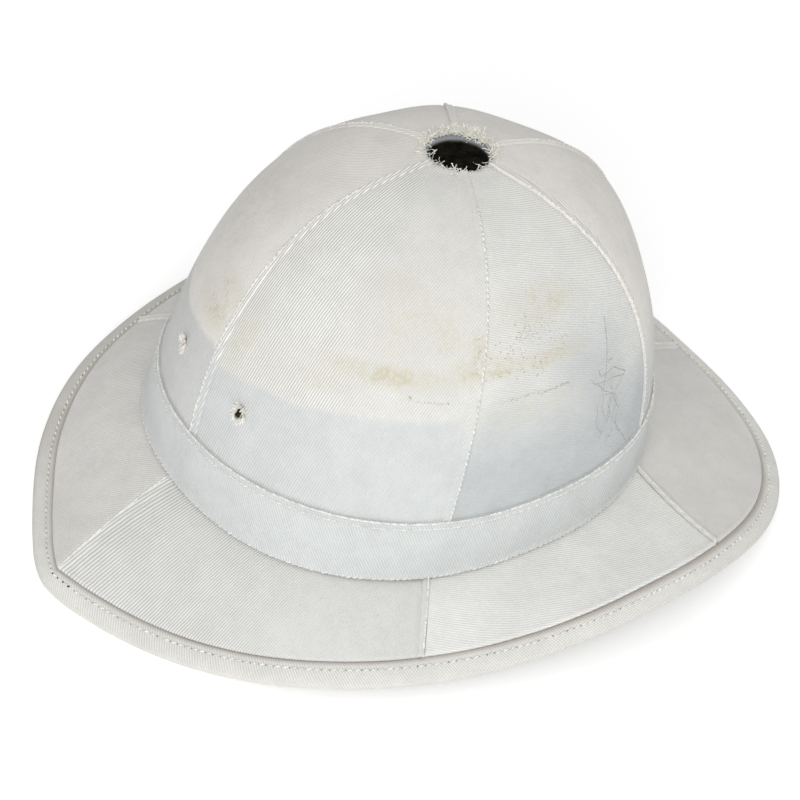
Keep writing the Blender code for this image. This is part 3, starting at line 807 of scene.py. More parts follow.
def stitch_tree():
    """A small rounded stitch at every point, along its direction and facing out, slanted across the seam."""
    nodes, given, made = new_tree(
        "GeometryNodeTree", "Stitches",
        {"Geometry": GEOMETRY, "Length": 0.002, "Width": 0.0007, "Height": 0.0005, "Slant": 0.5,
         "Unevenness": 0.2, "Seed": 1, "Material": MATERIAL},
        {"Geometry": GEOMETRY})
    ball = nodes.add("GeometryNodeMeshUVSphere", {"Segments": 8, "Rings": 5, "Radius": 0.5})[0]
    size = nodes.add("ShaderNodeCombineXYZ", {0: given["Length"], 1: given["Width"], 2: given["Height"]})[0]
    shaped = nodes.add("GeometryNodeTransform", {"Geometry": ball, "Scale": size})[0]
    slant = nodes.add("FunctionNodeAxisAngleToRotation", {"Axis": (0, 0, 1), "Angle": given["Slant"]})[0]
    laid = nodes.add("FunctionNodeAlignRotationToVector", {"Vector": nodes.stored("along")}, axis="X")[0]
    inputs = {"Rotation": laid, "Vector": nodes.stored("facing")}
    laid = nodes.add("FunctionNodeAlignRotationToVector", inputs, axis="Z", pivot_axis="X")[0]
    inputs = {"Rotation": laid, "Rotate By": slant}
    turn = nodes.add("FunctionNodeRotateRotation", inputs, rotation_space="LOCAL")[0]
    low, high = (nodes.maths(way, 1.0, given["Unevenness"]) for way in ("SUBTRACT", "ADD"))
    vary = nodes.add("FunctionNodeRandomValue", {2: low, 3: high, "Seed": given["Seed"]}, data_type="FLOAT")[1]
    return finish_tree(nodes, given, made, on_points(nodes, given, shaped, turn, vary))


def fray_tree():
    """Loose bent threads at every point, along its direction."""
    nodes, given, made = new_tree(
        "GeometryNodeTree", "Frayed Threads",
        {"Geometry": GEOMETRY, "Length": 0.003, "Thickness": 0.00012, "Spread": 0.7, "Curl": 0.002,
         "Seed": 1, "Material": MATERIAL},
        {"Geometry": GEOMETRY})
    length, seed = given["Length"], given["Seed"]
    inputs = {"Vertices": 4, "Side Segments": 7, "Fill Segments": 1, "Radius": given["Thickness"], "Depth": length}
    strand = nodes.add("GeometryNodeMeshCylinder", inputs, fill_type="TRIANGLE_FAN")[0]
    half = nodes.add("ShaderNodeCombineXYZ", {2: nodes.times(length, 0.5)})[0]
    based = nodes.add("GeometryNodeTransform", {"Geometry": strand, "Translation": half})[0]
    height = nodes.add("ShaderNodeSeparateXYZ", {0: nodes.add("GeometryNodeInputPosition")[0]})[2]
    inputs = {"Geometry": based, "Name": "tip", "Value": nodes.maths("DIVIDE", height, length)}
    marked = nodes.add("GeometryNodeStoreNamedAttribute", inputs, data_type="FLOAT", domain="POINT")[0]
    inputs = {0: (-1, -1, -1), 1: (1, 1, 1), "Seed": seed}
    lean = nodes.add("FunctionNodeRandomValue", inputs, data_type="FLOAT_VECTOR")[0]
    leaned = nodes.vectors("SCALE", {0: lean, "Scale": given["Spread"]})
    aim = nodes.vectors("ADD", {0: nodes.stored("along"), 1: leaned})
    turn = nodes.add("FunctionNodeAlignRotationToVector", {"Vector": aim}, axis="Z")[0]
    size = nodes.add("FunctionNodeRandomValue", {2: 0.35, 3: 1.15, "Seed": seed}, data_type="FLOAT")[1]
    spread = on_points(nodes, given, marked, turn, size)
    real = nodes.add("GeometryNodeRealizeInstances", {"Geometry": spread})[0]
    inputs = {"Vector": nodes.add("GeometryNodeInputPosition")[0], "Scale": 420.0, "Detail": 1.0}
    waves = nodes.add("ShaderNodeTexNoise", inputs)["Color"]
    centred = nodes.vectors("SUBTRACT", {0: waves, 1: (0.5, 0.5, 0.5)})
    amount = nodes.times(given["Curl"], nodes.stored("tip", "FLOAT"))
    shift = nodes.vectors("SCALE", {0: centred, "Scale": amount})
    bent = nodes.add("GeometryNodeSetPosition", {"Geometry": real, "Offset": shift})[0]
    return finish_tree(nodes, given, made, bent)


def stitch_sizes(length, width, height, slant, unevenness, seed):
    """Inputs of the stitch tree, with the sizes in millimetres."""
    return {"Length": length * MM, "Width": width * MM, "Height": height * MM, "Slant": slant,
            "Unevenness": unevenness, "Seed": seed}


def fray_sizes(length, thickness, spread, curl, seed):
    return {"Length": length * MM, "Thickness": thickness * MM, "Spread": spread, "Curl": curl * MM, "Seed": seed}


def grown(name, tree, points, along, out, values, material):
    """A piece grown by a tree on points, each with a direction and the way it faces."""
    mesh = bpy.data.meshes.new(name)
    mesh.from_pydata(points.tolist(), [], [])
    for label, vectors in (("along", along), ("facing", out)):
        attribute = mesh.attributes.new(label, "FLOAT_VECTOR", "POINT")
        attribute.data.foreach_set("vector", vectors.astype(np.float32).reshape(-1))
    thing = bpy.data.objects.new(name, mesh)
    bpy.context.scene.collection.objects.link(thing)
    modifier = thing.modifiers.new(tree.name, "NODES")
    modifier.node_group = tree
    values = dict(values, Material=material)
    for item in tree.interface.items_tree:
        if item.item_type == "SOCKET" and item.in_out == "INPUT" and item.name in values:
            modifier[item.identifier] = values[item.name]
    settle(thing)
    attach(thing, "root")


def spaced(points, pitch):
    """Even places along a line of points, its directions there, and how far along they are."""
    lengths = lengths_along(points)
    count = max(int(lengths[-1] / pitch), 2)
    wanted = (np.arange(count) + 0.5) * lengths[-1] / count
    places = blended(wanted, lengths, points)
    ahead = blended(wanted + pitch / 4, lengths, points)
    behind = blended(wanted - pitch / 4, lengths, points)
    return places, unit(ahead - behind), wanted


def whole_line(point_at, count=90):
    """A line right round the hat, from a function of panel and shares."""
    shares = np.arange(count) / count
    line = np.concatenate([point_at(panel, shares) for panel in range(PANEL_COUNT)])
    return np.concatenate([line, line[:1]])


def rim_section(panel, shares):
    """Where the brim's middle starts and ends by its rim, and the ways out and up there."""
    edge = edge_point(panel, shares)
    sunk = BRIM_CLOTH + GAP + SHELL_WALL / 2
    ones = np.ones_like(shares)
    root = brim_point(panel, shares, ones) - brim_normals(panel, shares, ones) * sunk
    outward = unit(edge - root)
    along = edge_point(panel, shares + SMALL_STEP) - edge_point(panel, shares - SMALL_STEP)
    return root, edge, outward, unit(np.cross(outward, along))


# Settings


class SunHelmetSettings(bpy.types.PropertyGroup):
    """Sizes and colours that a user would change."""

    rib_pitch: FloatProperty(
        name="Rib Pitch", description="Distance between the twill's ribs", default=0.00113, unit="LENGTH", precision=5
    )
    rib_contrast: FloatProperty(
        name="Rib Contrast", description="How dark the grooves between ribs are", default=0.68, subtype="FACTOR"
    )
    stitch_pitch: FloatProperty(
        name="Stitch Pitch", description="Distance between the tape's stitches", default=0.00327,
        unit="LENGTH", precision=5
    )
    rope_pitch: FloatProperty(
        name="Seam Rope Pitch", description="Distance between the bumps along a seam's fold", default=0.0024,
        unit="LENGTH", precision=5
    )
    cloth_colour: FloatVectorProperty(
        name="Cloth", description="Colour of the aged white twill", default=(0.87, 0.862, 0.825), subtype="COLOR"
    )
    clean_colour: FloatVectorProperty(
        name="Clean Cloth", description="Colour of the twill that a scarf kept clean", default=(0.69, 0.71, 0.706),
        subtype="COLOR"
    )
    thread_colour: FloatVectorProperty(
        name="Thread", description="Colour of stitches and loose threads", default=(0.87, 0.86, 0.82), subtype="COLOR"
    )
    fray_threads: IntProperty(name="Frayed Threads", description="Threads round the vent", default=1000, min=0)


KIT = {}


def kit(context):
    """The materials and node trees, made once from the settings."""
    if KIT:
        return KIT
    settings = context.scene.sun_helmet
    shared = {"weave": weave_group(), "age": ageing_group(), "cloth": tuple(settings.cloth_colour),
              "clean": tuple(settings.clean_colour)}
    # Each cloth: its key and name, and shares of the ribs' pitch and contrast
    # Painted shade and light: the gore and brim tints darken or lighten each panel's copy of the cloth for how the
    # light falls on its side of the hat, and the fine cloth's cool tint paints shade on the clean lower part of the
    # left side; the tape's and band's tints are their own colour
    cloths = (
        ("twill", "twill_white", 1.0, 1.0, {}),
        ("smooth", "twill_worn_smooth_shaded", 1.0, 0.3, {"tint": (0.945, 0.925, 0.91)}),
        ("brim_smooth", "brim_worn_smooth_shaded", 1.0, 0.3, {"tint": (0.92, 0.905, 0.895)}),
        ("fine", "twill_fine_shaded", 0.88, 0.42, {"tint": (0.905, 0.91, 0.91), "cool_tint": (0.805, 0.82, 0.83)}),
        ("brim_fine", "brim_fine", 0.92, 0.36, {"tint": (1.01, 1.01, 1.01)}),
        ("band", "band_cloth", 0.93, 0.8, {"clean": 0.8, "wear": False, "tint": (1.0, 1.005, 1.0)}),
        ("tape", "tape_cloth", 0.88, 0.42, {"tint": (0.983, 0.986, 0.976)}),
    )
    for key, name, pitch, contrast, more in cloths:
        KIT[key] = cloth_material(name, shared, settings.rib_pitch * pitch, settings.rib_contrast * contrast, **more)
    threads = (
        ("thread", "loose_thread", tuple(settings.thread_colour)),
        ("bright", "sewing_thread", (0.93, 0.925, 0.89)),
        # The frayed cotton's small emission is painted light on its thin threads
        ("fringe", "frayed_cotton", (0.95, 0.93, 0.86), 0.07),
        # Painted shade: the needle holes are spots, near black where they stand open and grey for the rest, in place
        # of the shade inside the holes
        ("needle", "open_needle_holes", (0.06, 0.055, 0.05)),
        ("dull_needle", "needle_holes", (0.34, 0.325, 0.30)),
        ("scuff", "pencil_grey", (0.47, 0.485, 0.465)),
    )
    for key, *values in threads:
        KIT[key] = thread_material(*values)
    KIT.update(shell=shell_material("moulded_cork"), stitches=stitch_tree(), fray=fray_tree())
    return KIT


class HELMET_OT_gores(bpy.types.Operator):
    """Six twill gores over the crown, with their raised laps and torn badge holes"""

    bl_idname = "helmet.gores"
    bl_label = "Crown Gores"

    def execute(self, context):
        parts = kit(context)
        for panel, name in enumerate(PANEL_NAMES):
            shares, rise, widths, along = gore_grid(panel)
            points = crown_point(panel, shares, rise)
            outward = crown_normals(panel, shares, rise)
            marks = mark_values(placed(points))
            relief = panel_relief(panel, shares, widths, (LAP_RISE,) * PANEL_COUNT)
            relief = relief + hole_relief(placed(points)) + 0.22 * MM * wander(points, 0.03, panel)
            top = np.exp(-(along[0] - along) / (2.5 * MM))[:, None]
            relief = relief + top * 0.8 * MM * (0.5 + wander(points * np.array([1, 1, 0]), 0.006, 9))
            across = (shares - 0.5) * widths[:, None]
            cloth = turned_map(across, along[:, None] + 0 * across, GORE_GRAIN[panel])
            points = placed(drawn_out(points + outward * relief[..., None], panel))
            gore = sheet_object("gore_" + name, points, CROWN_CLOTH * 0.8, cloth, marks,
                                ribs=faded_rib_shade(points, panel, 0.62, 27.0))
            in_front = panel in (0, PANEL_COUNT - 1)
            settle_cut(gore, [hole for hole in HOLES if in_front and (hole["place"][0] > 0) == (panel == 0)])
            finish = {0: "twill", 1: "fine"}.get(panel, "smooth")
            finish_piece(gore, parts[finish], ("crown_panel_" + name,))
            declare_sheet(points, widths.max(), along.max() - along.min())
        return {"FINISHED"}


class HELMET_OT_brim(bpy.types.Operator):
    """Six twill panels on the brim, out to their rolled ridge"""

    bl_idname = "helmet.brim"
    bl_label = "Brim Panels"

    def execute(self, context):
        parts = kit(context)
        for panel, name in enumerate(PANEL_NAMES):
            out = np.concatenate([np.linspace(0.0, 0.965, BRIM_LINES_OUT - 8), np.linspace(0.972, 1.0, 8)])
            widths = row_widths(brim_point, panel, out)
            shares = lap_shares(widths)
            places = out[:, None] + 0 * shares
            points = brim_point(panel, shares, places)
            outward = brim_normals(panel, shares, places)
            length = np.linalg.norm(points[-1] - points[0], axis=-1)
            from_ridge = (1 - places) * length[None, :]
            relief = panel_relief(panel, shares, widths, BRIM_LAP_RISES)
            relief = relief + 0.25 * MM * wander(points, 0.028, panel + 20)
            rounded = (1 - from_ridge / (0.9 * MM)).clip(0, 1) ** 2
            relief = relief - 0.9 * MM * (1 - np.sqrt(np.clip(1 - rounded, 0, 1)))
            relief = relief + 0.25 * MM * hump(from_ridge - 1.6 * MM, 0.9 * MM)
            marks = mark_values(placed(points))
            marks[..., 2] = 0.25
            across = (shares - 0.5) * widths[:, None]
            cloth = turned_map(across, places * length[None, :], BRIM_GRAIN[panel])
            points = placed(drawn_out(points + outward * relief[..., None], panel))
            cover = sheet_object("brim_cover_" + name, points, BRIM_CLOTH * 0.9, cloth, marks,
                                 ribs=faded_rib_shade(points, panel, 0.72, 20.0))
            settle(cover)
            finish = {0: "twill", 1: "brim_fine"}.get(panel, "brim_smooth")
            finish_piece(cover, parts[finish], ("brim_panel_" + name,))
            declare_sheet(points, widths.max(), length.max())
        return {"FINISHED"}


class HELMET_OT_band(bpy.types.Operator):
    """The folded band round the foot of the crown, with its cords"""

    bl_idname = "helmet.band"
    bl_label = "Hat Band"

    def execute(self, context):
        parts = kit(context)
        stand_off = LAP_RISE + GAP + BAND_WALL
        start = LAP_RISE
        spans = ((0, 0.12, 12), (0.14, 0.8, 22), (0.815, 0.97, 18), (0.976, 1.0, 9))
        heights = np.concatenate([np.linspace(*span) for span in spans])
        # Cords under the cloth, and a dent: height in millimetres, place up the band, width in millimetres
        cords = ((0.55, 0.045, 1.1), (0.5, 0.9, 0.7), (0.5, 0.982, 0.45), (-0.15, 0.955, 0.4))
        bead = sum(tall * MM * hump((heights - place) * BAND_HEIGHT, wide * MM) for tall, place, wide in cords)
        grid, ways, across = [], [], []
        for panel in range(PANEL_COUNT):
            shares = np.arange(BAND_STEPS) / BAND_STEPS + 0 * heights[:, None]
            rise = rise_at_height(panel, shares, (start + (BAND_HEIGHT - start) * heights)[:, None])
            grid.append(crown_point(panel, shares, rise))
            ways.append(crown_normals(panel, shares, rise))
        points = np.concatenate(grid, axis=1)
        outward = np.concatenate(ways, axis=1)
        waviness = 0.2 * MM * wander(points, 0.02, 31)
        turned_in = 0.8 * MM * smooth((heights - 0.55) / 0.4) + 1.5 * MM * smooth((heights - 0.982) / 0.018)
        turned_in += 1.0 * MM * smooth(1 - heights / 0.02)
        relief = stand_off + (bead - turned_in)[:, None] + waviness
        marks = mark_values(placed(points))
        lengths = lengths_along(points[0])
        lengths = np.append(lengths, lengths[-1] + np.linalg.norm(points[0, -1] - points[0, 0]))
        level = heights * BAND_HEIGHT
        across = lengths[None, :] + 0 * level[:, None]
        cloth = turned_map(across, level[:, None] + 0 * across, BAND_GRAIN)
        points = placed(points + outward * relief[..., None])
        points, marks, cloth = points[::-1], marks[::-1], cloth[::-1]
        band = sheet_object("hat_band_cloth", points, BAND_WALL, cloth, marks, closed=True)
        settle(band)
        finish_piece(band, parts["band"], ("hat_band",))
        declare_sheet(points, lengths_along(points[:, 0])[-1], lengths[-1])

        def line_at(height, lift):
            def point_at(panel, shares):
                rise = rise_at_height(panel, shares, start + (BAND_HEIGHT - start) * height)
                ways = crown_normals(panel, shares, rise)
                return placed(crown_point(panel, shares, rise) + ways * (stand_off + lift))
            return whole_line(point_at)

        rows = (
            ("band_foot_stitches", 0.035, 0.35 * MM, 2.6 * MM, (2.6, 1.0, 0.8), 0.35),
            ("band_cord_bumps", 0.905, -0.35 * MM, 2.1 * MM, (2.2, 0.7, 0.6), 0.25),
            ("band_top_cord", 0.99, -0.85 * MM, 2.0 * MM, (3.3, 1.0, 1.0), 0.05),
        )
        for name, height, lift, pitch, size, slant in rows:
            places, along, _ = spaced(line_at(height, lift), pitch)
            outward = unit(places * np.array([1, 1, 0]))
            values = stitch_sizes(*size, slant, 0.22, 5)
            grown(name, parts["stitches"], places, along, outward, values, parts["thread"])
        return {"FINISHED"}


class HELMET_OT_binding(bpy.types.Operator):
    """The tape folded over the brim's edge, its stitches and needle holes"""

    bl_idname = "helmet.binding"
    bl_label = "Brim Binding"

    def execute(self, context):
        parts = kit(context)
        settings = context.scene.sun_helmet
        half = SHELL_WALL / 2 + GAP + TAPE
        top = 9
        sides = []
        for panel in range(PANEL_COUNT):
            shares = np.arange(TAPE_STEPS) / TAPE_STEPS
            root, edge, outward, upward = rim_section(panel, shares)
            inner = root - outward * TAPE_TUCK
            outer = edge - outward * half
            flat = [inner + (outer - inner) * t for t in np.linspace(0, 1, top)]
            line = [point + upward * half for point in flat]
            ones = np.ones_like(shares)
            ridge = brim_point(panel, shares, ones) - brim_normals(panel, shares, ones) * 1.3 * MM
            line[0] = ridge - outward * 0.8 * MM
            line[1] = line[1] * 0.35 + (ridge + outward * 0.4 * MM) * 0.65
            line[2] = line[2] * 0.72 + (ridge + outward * 1.6 * MM) * 0.28
            for turn in np.linspace(pi / 2, -pi / 2, 11)[1:-1]:
                line.append(outer + outward * (half * cos(turn)) + upward * (half * sin(turn)))
            line += [point - upward * half for point in flat[::-1]]
            sides.append((np.stack(line), upward))
        points, upward = (np.concatenate(part, axis=-2) for part in zip(*sides))
        points = placed(points)
        points[..., 2] = np.maximum(points[..., 2], 0.0)
        lengths = lengths_along(np.concatenate([points[top], points[top][:1]]))
        level = lengths_along(points[:, 40])
        across = lengths[None, :] + 0 * level[:, None]
        cloth = turned_map(across, level[:, None] + 0 * across, TAPE_GRAIN)
        marks = mark_values(points)
        marks[..., 2] = 0.0
        # Painted shadow and dirt: the first two rows, in the fold under the brim cover's ridge, get the dirt colour,
        # partly dirt in the fold and partly painted shadow; the shade below paints the shadow under the ridge, the
        # rolled edge and underside, the hat's right side turned from the key light, and the stitch groove's row
        marks[:2, :, 3] = 0.35
        shade = np.zeros(points.shape[:2])
        shade[:4] = np.array([1.0, 0.8, 0.4, 0.1])[:, None]
        shade[top + 1:] = 0.2
        shade[top] = 0.1
        shade += 0.42 * smooth((-points[..., 0] - 20 * MM) / (70 * MM))
        groove = hump(level[:, None] - TAPE_STITCHES_IN, 0.7 * MM)[:top]
        puff = 0.16 * MM * wander(points[:top], 0.012, 44) - 0.42 * MM * groove
        points[:top] += upward[None] * puff[..., None]
        row = int(np.argmin(np.abs(level[:top] - TAPE_STITCHES_IN)))
        shade[row] += 0.24
        tape = sheet_object("binding_tape", points, TAPE, cloth, marks, closed=True, shade=np.clip(shade, 0, 1))
        settle(tape)
        finish_piece(tape, parts["tape"], ("brim_binding",))
        declare_sheet(points, level[-1], lengths[-1])

        line = np.concatenate([points[row], points[row][:1]])
        places, along, wanted = spaced(line, settings.stitch_pitch)
        ups = np.concatenate([upward, upward[:1]])
        ups = unit(blended(wanted, lengths_along(line), ups))
        ends = places + along * settings.stitch_pitch / 2
        turns = turn_of(ends)
        opened = (turns > OPEN_HOLES_TURNS[0]) & (turns < OPEN_HOLES_TURNS[1])
        every = np.ones(len(ends), dtype=bool)
        # The needle holes are dark spots laid on the tape: painted shade for the inside of the holes
        for name, kept, spots, lift, sizes, finish in (
            ("tape_stitches", every, places, 0.2, (2.6, 0.85, 1.1, 0.3, 0.15, 3), "bright"),
            ("tape_open_needle_holes", opened, ends, 0.06, (1.0, 0.9, 0.35, 0.0, 0.3, 8), "needle"),
            ("tape_needle_holes", ~opened, ends, 0.02, (0.55, 0.5, 0.3, 0.0, 0.5, 9), "dull_needle"),
        ):
            grown(name, parts["stitches"], spots[kept] + ups[kept] * lift * MM, along[kept], ups[kept],
                  stitch_sizes(*sizes), parts[finish])
        return {"FINISHED"}


class HELMET_OT_seams(bpy.types.Operator):
    """Slanting bumps along the folded edge of every seam"""

    bl_idname = "helmet.seams"
    bl_label = "Seam Ropes"

    def fold_line(self, seam, panel, surface, span, up, lift, pitch):
        place = np.linspace(*span, 160)
        widths = row_widths(surface, panel, place)
        share = np.minimum(FOLD_PLACE / widths, 0.05)
        share = share if seam["lap"] == 1 else 1 - share
        ways = normals_of(surface, panel, share, place, up)
        line = placed(surface(panel, share, place) + ways * lift)
        spots, along, wanted = spaced(line, pitch)
        out = blended(wanted, lengths_along(line), ways)
        return spots, along, unit(out)

    def execute(self, context):
        parts = kit(context)
        pitch = context.scene.sun_helmet.rope_pitch
        rows = [], []
        for index, seam in enumerate(SEAMS):
            panel = index if seam["lap"] == 1 else (index - 1) % PANEL_COUNT
            rows[0].append(self.fold_line(seam, panel, crown_point, (0.2, 0.972), 1.0, LAP_RISE + 0.3 * MM, pitch))
            rise = BRIM_LAP_RISES[index] + 0.3 * MM
            rows[1].append(self.fold_line(seam, panel, brim_point, (0.0, 0.985), -1.0, rise, pitch))
        # The brim's fold cords are partly a raised edge and partly a painted highlight: low bumps in the brighter
        # sewing thread along each brim seam's fold
        sizes = (
            ("seam_ropes", (2.5, 0.95, 0.7, 0.4), "thread"),
            ("brim_fold_highlights", (4.4, 0.8, 0.7, 0.04), "bright"),
        )
        for row, (name, size, finish) in zip(rows, sizes):
            spots, alongs, outs = (np.concatenate(part) for part in zip(*row))
            grown(name, parts["stitches"], spots, alongs, outs, stitch_sizes(*size, 0.12, 2), parts[finish])
        return {"FINISHED"}


class HELMET_OT_shell(bpy.types.Operator):
    """The moulded body inside, open at the vent"""

    bl_idname = "helmet.shell"
    bl_label = "Moulded Shell"

    def execute(self, context):
        parts = kit(context)
        depth = CROWN_CLOTH + GAP
        sunk = BRIM_CLOTH + GAP
        shares = np.arange(SHELL_STEPS) / SHELL_STEPS
        rises = np.sin(np.linspace(0.02, 1.0, 44) * pi / 2) ** 0.75 * 0.985
        rows = []

        def ring(point_at):
            rows.append(np.concatenate([point_at(panel) for panel in range(PANEL_COUNT)]))

        def crown_ring(panel, rise):
            rise = rise + 0 * shares
            return crown_point(panel, shares, rise) - crown_normals(panel, shares, rise) * depth

        def brim_ring(panel, out):
            out = out + 0 * shares
            return brim_point(panel, shares, out) - brim_normals(panel, shares, out) * sunk

        def corner(panel):
            zero = 0 * shares
            ways = brim_normals(panel, shares, zero)
            outward = brim_point(panel, shares, zero + 1) - brim_point(panel, shares, zero)
            outward[..., 2] = 0.0
            length = np.linalg.norm(outward, axis=-1)
            out = (sunk * (ways * unit(outward)).sum(axis=-1) - depth) / length
            return brim_point(panel, shares, out) - ways * sunk

        def rim(panel):
            _, edge, outward, upward = rim_section(panel, shares)
            half = SHELL_WALL / 2
            return edge - outward * (half + GAP + TAPE) + upward * half

        ring(lambda panel: crown_ring(panel, rise_at_radius(panel, shares, VENT_RADIUS)))
        for rise in rises[::-1]:
            ring(lambda panel, rise=rise: crown_ring(panel, rise))
        ring(corner)
        for out in np.linspace(0.12, 1.0, 9):
            ring(lambda panel, out=out: brim_ring(panel, out))
        ring(rim)
        points = placed(np.stack(rows))
        shell = sheet_object("moulded_shell", points, SHELL_WALL, closed=True)
        settle_cut(shell, HOLES)
        finish_piece(shell, parts["shell"], ("shell",))
        return {"FINISHED"}


class HELMET_OT_wear(bpy.types.Operator):
    """Frayed threads round the vent and the badge holes, and scuffs on the left side"""

    bl_idname = "helmet.wear"
    bl_label = "Frayed Places"

    def execute(self, context):
        parts = kit(context)
        draw = np.random.default_rng(11)
        count = context.scene.sun_helmet.fray_threads
        # Thickest at the far side of the vent, thin at the near side
        tight = draw.random(count) < 0.45
        angles = np.where(tight, draw.vonmises(radians(140), 9.0, count),
                          draw.vonmises(radians(142), 0.9, count))
        radius = CLOTH_VENT_RADIUS + draw.normal(0.4, 0.9, count) * MM
        centre = np.array([0.0, CROWN_TOP_SETBACK, 0.0]) + np.array(STAND)
        top = FOOT_HEIGHT + CROWN_HEIGHT + 0.1 * MM - 0.55 * (radius - 6 * MM) ** 2 / 0.1
        spots = [centre[0] + radius * np.cos(angles), centre[1] + radius * np.sin(angles), STAND.z + top]
        spots = np.stack(spots, axis=-1)
        around = np.stack([-np.sin(angles), np.cos(angles), 0 * angles], axis=-1)
        inward = np.stack([-np.cos(angles), -np.sin(angles), 0 * angles], axis=-1)
        side = draw.normal(0, 0.8, (count, 1))
        aim = unit(around * side + inward * draw.uniform(-0.9, 0.7, (count, 1)) + np.array([0, 0, 0.25]))
        up = np.tile([0.0, 0.0, 1.0], (count, 1))
        values = fray_sizes(3.8, 0.16, 0.55, 3.4, 4)
        grown("vent_frayed_threads", parts["fray"], spots, aim, up, values, parts["fringe"])
        gore = bpy.data.objects["gore_side_left"]
        found_lines = []
        for scuff in SCUFFS:
            places, _, _ = spaced(np.array(scuff) * MM, 0.4 * MM)
            places = places + 0.25 * MM * np.stack([wander(places, 0.004, k) for k in (61, 62, 63)], axis=-1)
            # Chords sag below the cloth, so they start outside it and land on its outer face
            found = [gore.closest_point_on_mesh(Vector(place)) for place in places + SCUFF_PUSH]
            line = np.array([tuple(hit[1]) for hit in found])
            found_lines.append((line, unit(np.gradient(line, axis=0)), np.array([tuple(hit[2]) for hit in found])))
        spots, alongs, outs = (np.concatenate(part) for part in zip(*found_lines))
        values = stitch_sizes(0.7, 0.46, 0.12, 0.0, 0.45, 6)
        grown("scuff_marks", parts["stitches"], spots, alongs, outs, values, parts["scuff"])
        for index, hole in enumerate(HOLES, 1):
            place = np.array(hole["place"]) * MM
            out = unit(np.array([place[0], place[1] + 15 * MM, 12 * MM]))
            across = unit(np.cross([0, 0, 1], out))
            upward = np.cross(out, across)
            angles = draw.uniform(0, 2 * pi, HOLE_THREADS)
            reach = draw.uniform(1.1, 1.75, (HOLE_THREADS, 1))
            ring = across * (hole["wide"] * MM * np.cos(angles))[:, None]
            ring = ring + upward * (hole["high"] * MM * np.sin(angles))[:, None]
            aim = unit(ring) * draw.uniform(0.2, 1.0, (HOLE_THREADS, 1)) + out * 0.35 - upward * 0.45
            sunk = draw.uniform(0.0, 1.0, (HOLE_THREADS, 1))
            spots = place + ring * reach + out * 0.7 * MM - upward * sunk * MM
            values = fray_sizes(1.9, 0.17, 0.45, 1.4, index)
            upright = np.tile(out, (HOLE_THREADS, 1))
            grown("badge_hole_threads_%d" % index, parts["fray"], spots, unit(aim), upright, values,
                  parts["fringe"])
        return {"FINISHED"}


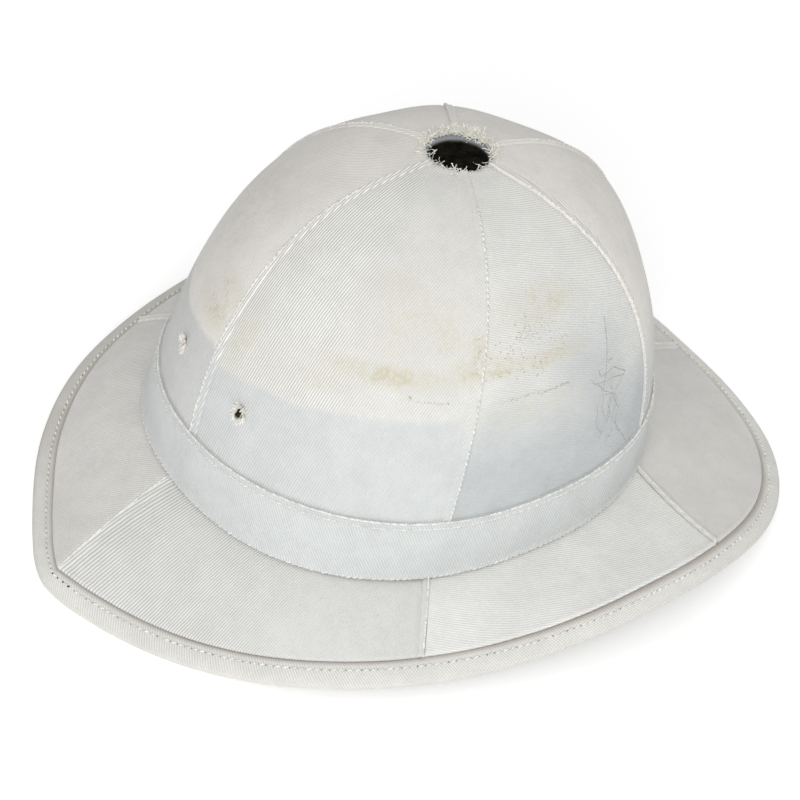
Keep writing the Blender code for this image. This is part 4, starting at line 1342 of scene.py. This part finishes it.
class HELMET_OT_stage(bpy.types.Operator):
    """Pale floor, soft lights and the camera"""

    bl_idname = "helmet.stage"
    bl_label = "Stage"

    def execute(self, context):
        scene = context.scene
        mesh = bpy.data.meshes.new("floor")
        mesh.from_pydata([(-6, -6, 0), (6, -6, 0), (6, 6, 0), (-6, 6, 0)], [], [(0, 1, 2, 3)])
        floor = bpy.data.objects.new("floor", mesh)
        scene.collection.objects.link(floor)
        material, nodes, shader, place = new_material("floor", 0.9, 0.1)
        grey = nodes.grey(nodes.ranged(nodes.noise(place, 1.5), 0.3, 0.7, 0.95, 1.0))
        nodes.feed(shader, {"Base Color": grey})
        shader["Emission Color"].default_value = (1.0, 1.0, 1.0, 1.0)
        shader["Emission Strength"].default_value = 0.29
        mesh.materials.append(material)

        world = bpy.data.worlds.new("studio")
        world.use_nodes = True
        sky = world.node_tree.nodes["Background"]
        sky.inputs["Color"].default_value = (1.0, 1.0, 1.0, 1.0)
        sky.inputs["Strength"].default_value = 0.4
        scene.world = world
        scene.view_settings.view_transform = "Standard"

        lights = (
            ("key_light", (1.15, -1.0, 1.08), 1.1, 17.6),
            ("top_light", (0.2, -0.1, 1.8), 1.5, 5.0),
            ("rear_light", (1.0, 1.3, 1.1), 1.0, 2.8),
            ("fill_light", (-1.1, 0.9, 1.2), 1.2, 1.8),
        )
        for name, spot, size, power in lights:
            lamp = bpy.data.lights.new(name, "AREA")
            lamp.shape = "SQUARE"
            lamp.size = size
            lamp.energy = power
            holder = bpy.data.objects.new(name, lamp)
            holder.location = spot
            aim = Vector((0, 0, 0.07)) - Vector(spot)
            holder.rotation_euler = aim.to_track_quat("-Z", "Y").to_euler()
            scene.collection.objects.link(holder)

        azimuth, elevation, roll = radians(51.905), radians(40.794), radians(7.341)
        back = Vector((sin(azimuth) * cos(elevation), -cos(azimuth) * cos(elevation), sin(elevation)))
        right = Vector((cos(azimuth), sin(azimuth), 0.0))
        up = back.cross(right)
        turned = right * cos(roll) + up * sin(roll)
        upright = up * cos(roll) - right * sin(roll)
        lens = bpy.data.cameras.new("camera")
        lens.lens = 99.025
        lens.sensor_width = 36.0
        lens.clip_end = 20.0
        camera = bpy.data.objects.new("camera", lens)
        turn = Matrix((turned, upright, back)).transposed().to_4x4()
        camera.matrix_world = Matrix.Translation((0.590777, -0.462204, 0.685090)) @ turn
        scene.collection.objects.link(camera)
        scene.camera = camera
        return {"FINISHED"}


class HELMET_PT_panel(bpy.types.Panel):
    """The helmet's settings and steps"""

    bl_idname = "HELMET_PT_panel"
    bl_label = "Sun Helmet"
    bl_space_type = "VIEW_3D"
    bl_region_type = "UI"
    bl_category = "Sun Helmet"

    def draw(self, context):
        settings = context.scene.sun_helmet
        for name in SunHelmetSettings.__annotations__:
            self.layout.prop(settings, name)
        for operator in OPERATORS:
            self.layout.operator(operator.bl_idname)


OPERATORS = (
    HELMET_OT_stage,
    HELMET_OT_shell,
    HELMET_OT_gores,
    HELMET_OT_brim,
    HELMET_OT_band,
    HELMET_OT_binding,
    HELMET_OT_seams,
    HELMET_OT_wear,
)
CLASSES = (SunHelmetSettings,) + OPERATORS + (HELMET_PT_panel,)


def register():
    for kind in CLASSES:
        bpy.utils.register_class(kind)
    bpy.types.Scene.sun_helmet = PointerProperty(type=SunHelmetSettings)


def unregister():
    del bpy.types.Scene.sun_helmet
    for kind in reversed(CLASSES):
        bpy.utils.unregister_class(kind)


def main():
    register()
    bpy.ops.helmet.stage()
    bpy.ops.helmet.shell()
    bpy.ops.helmet.gores()
    bpy.ops.helmet.brim()
    bpy.ops.helmet.band()
    bpy.ops.helmet.binding()
    bpy.ops.helmet.seams()
    bpy.ops.helmet.wear()


if __name__ == "__main__":
    main()
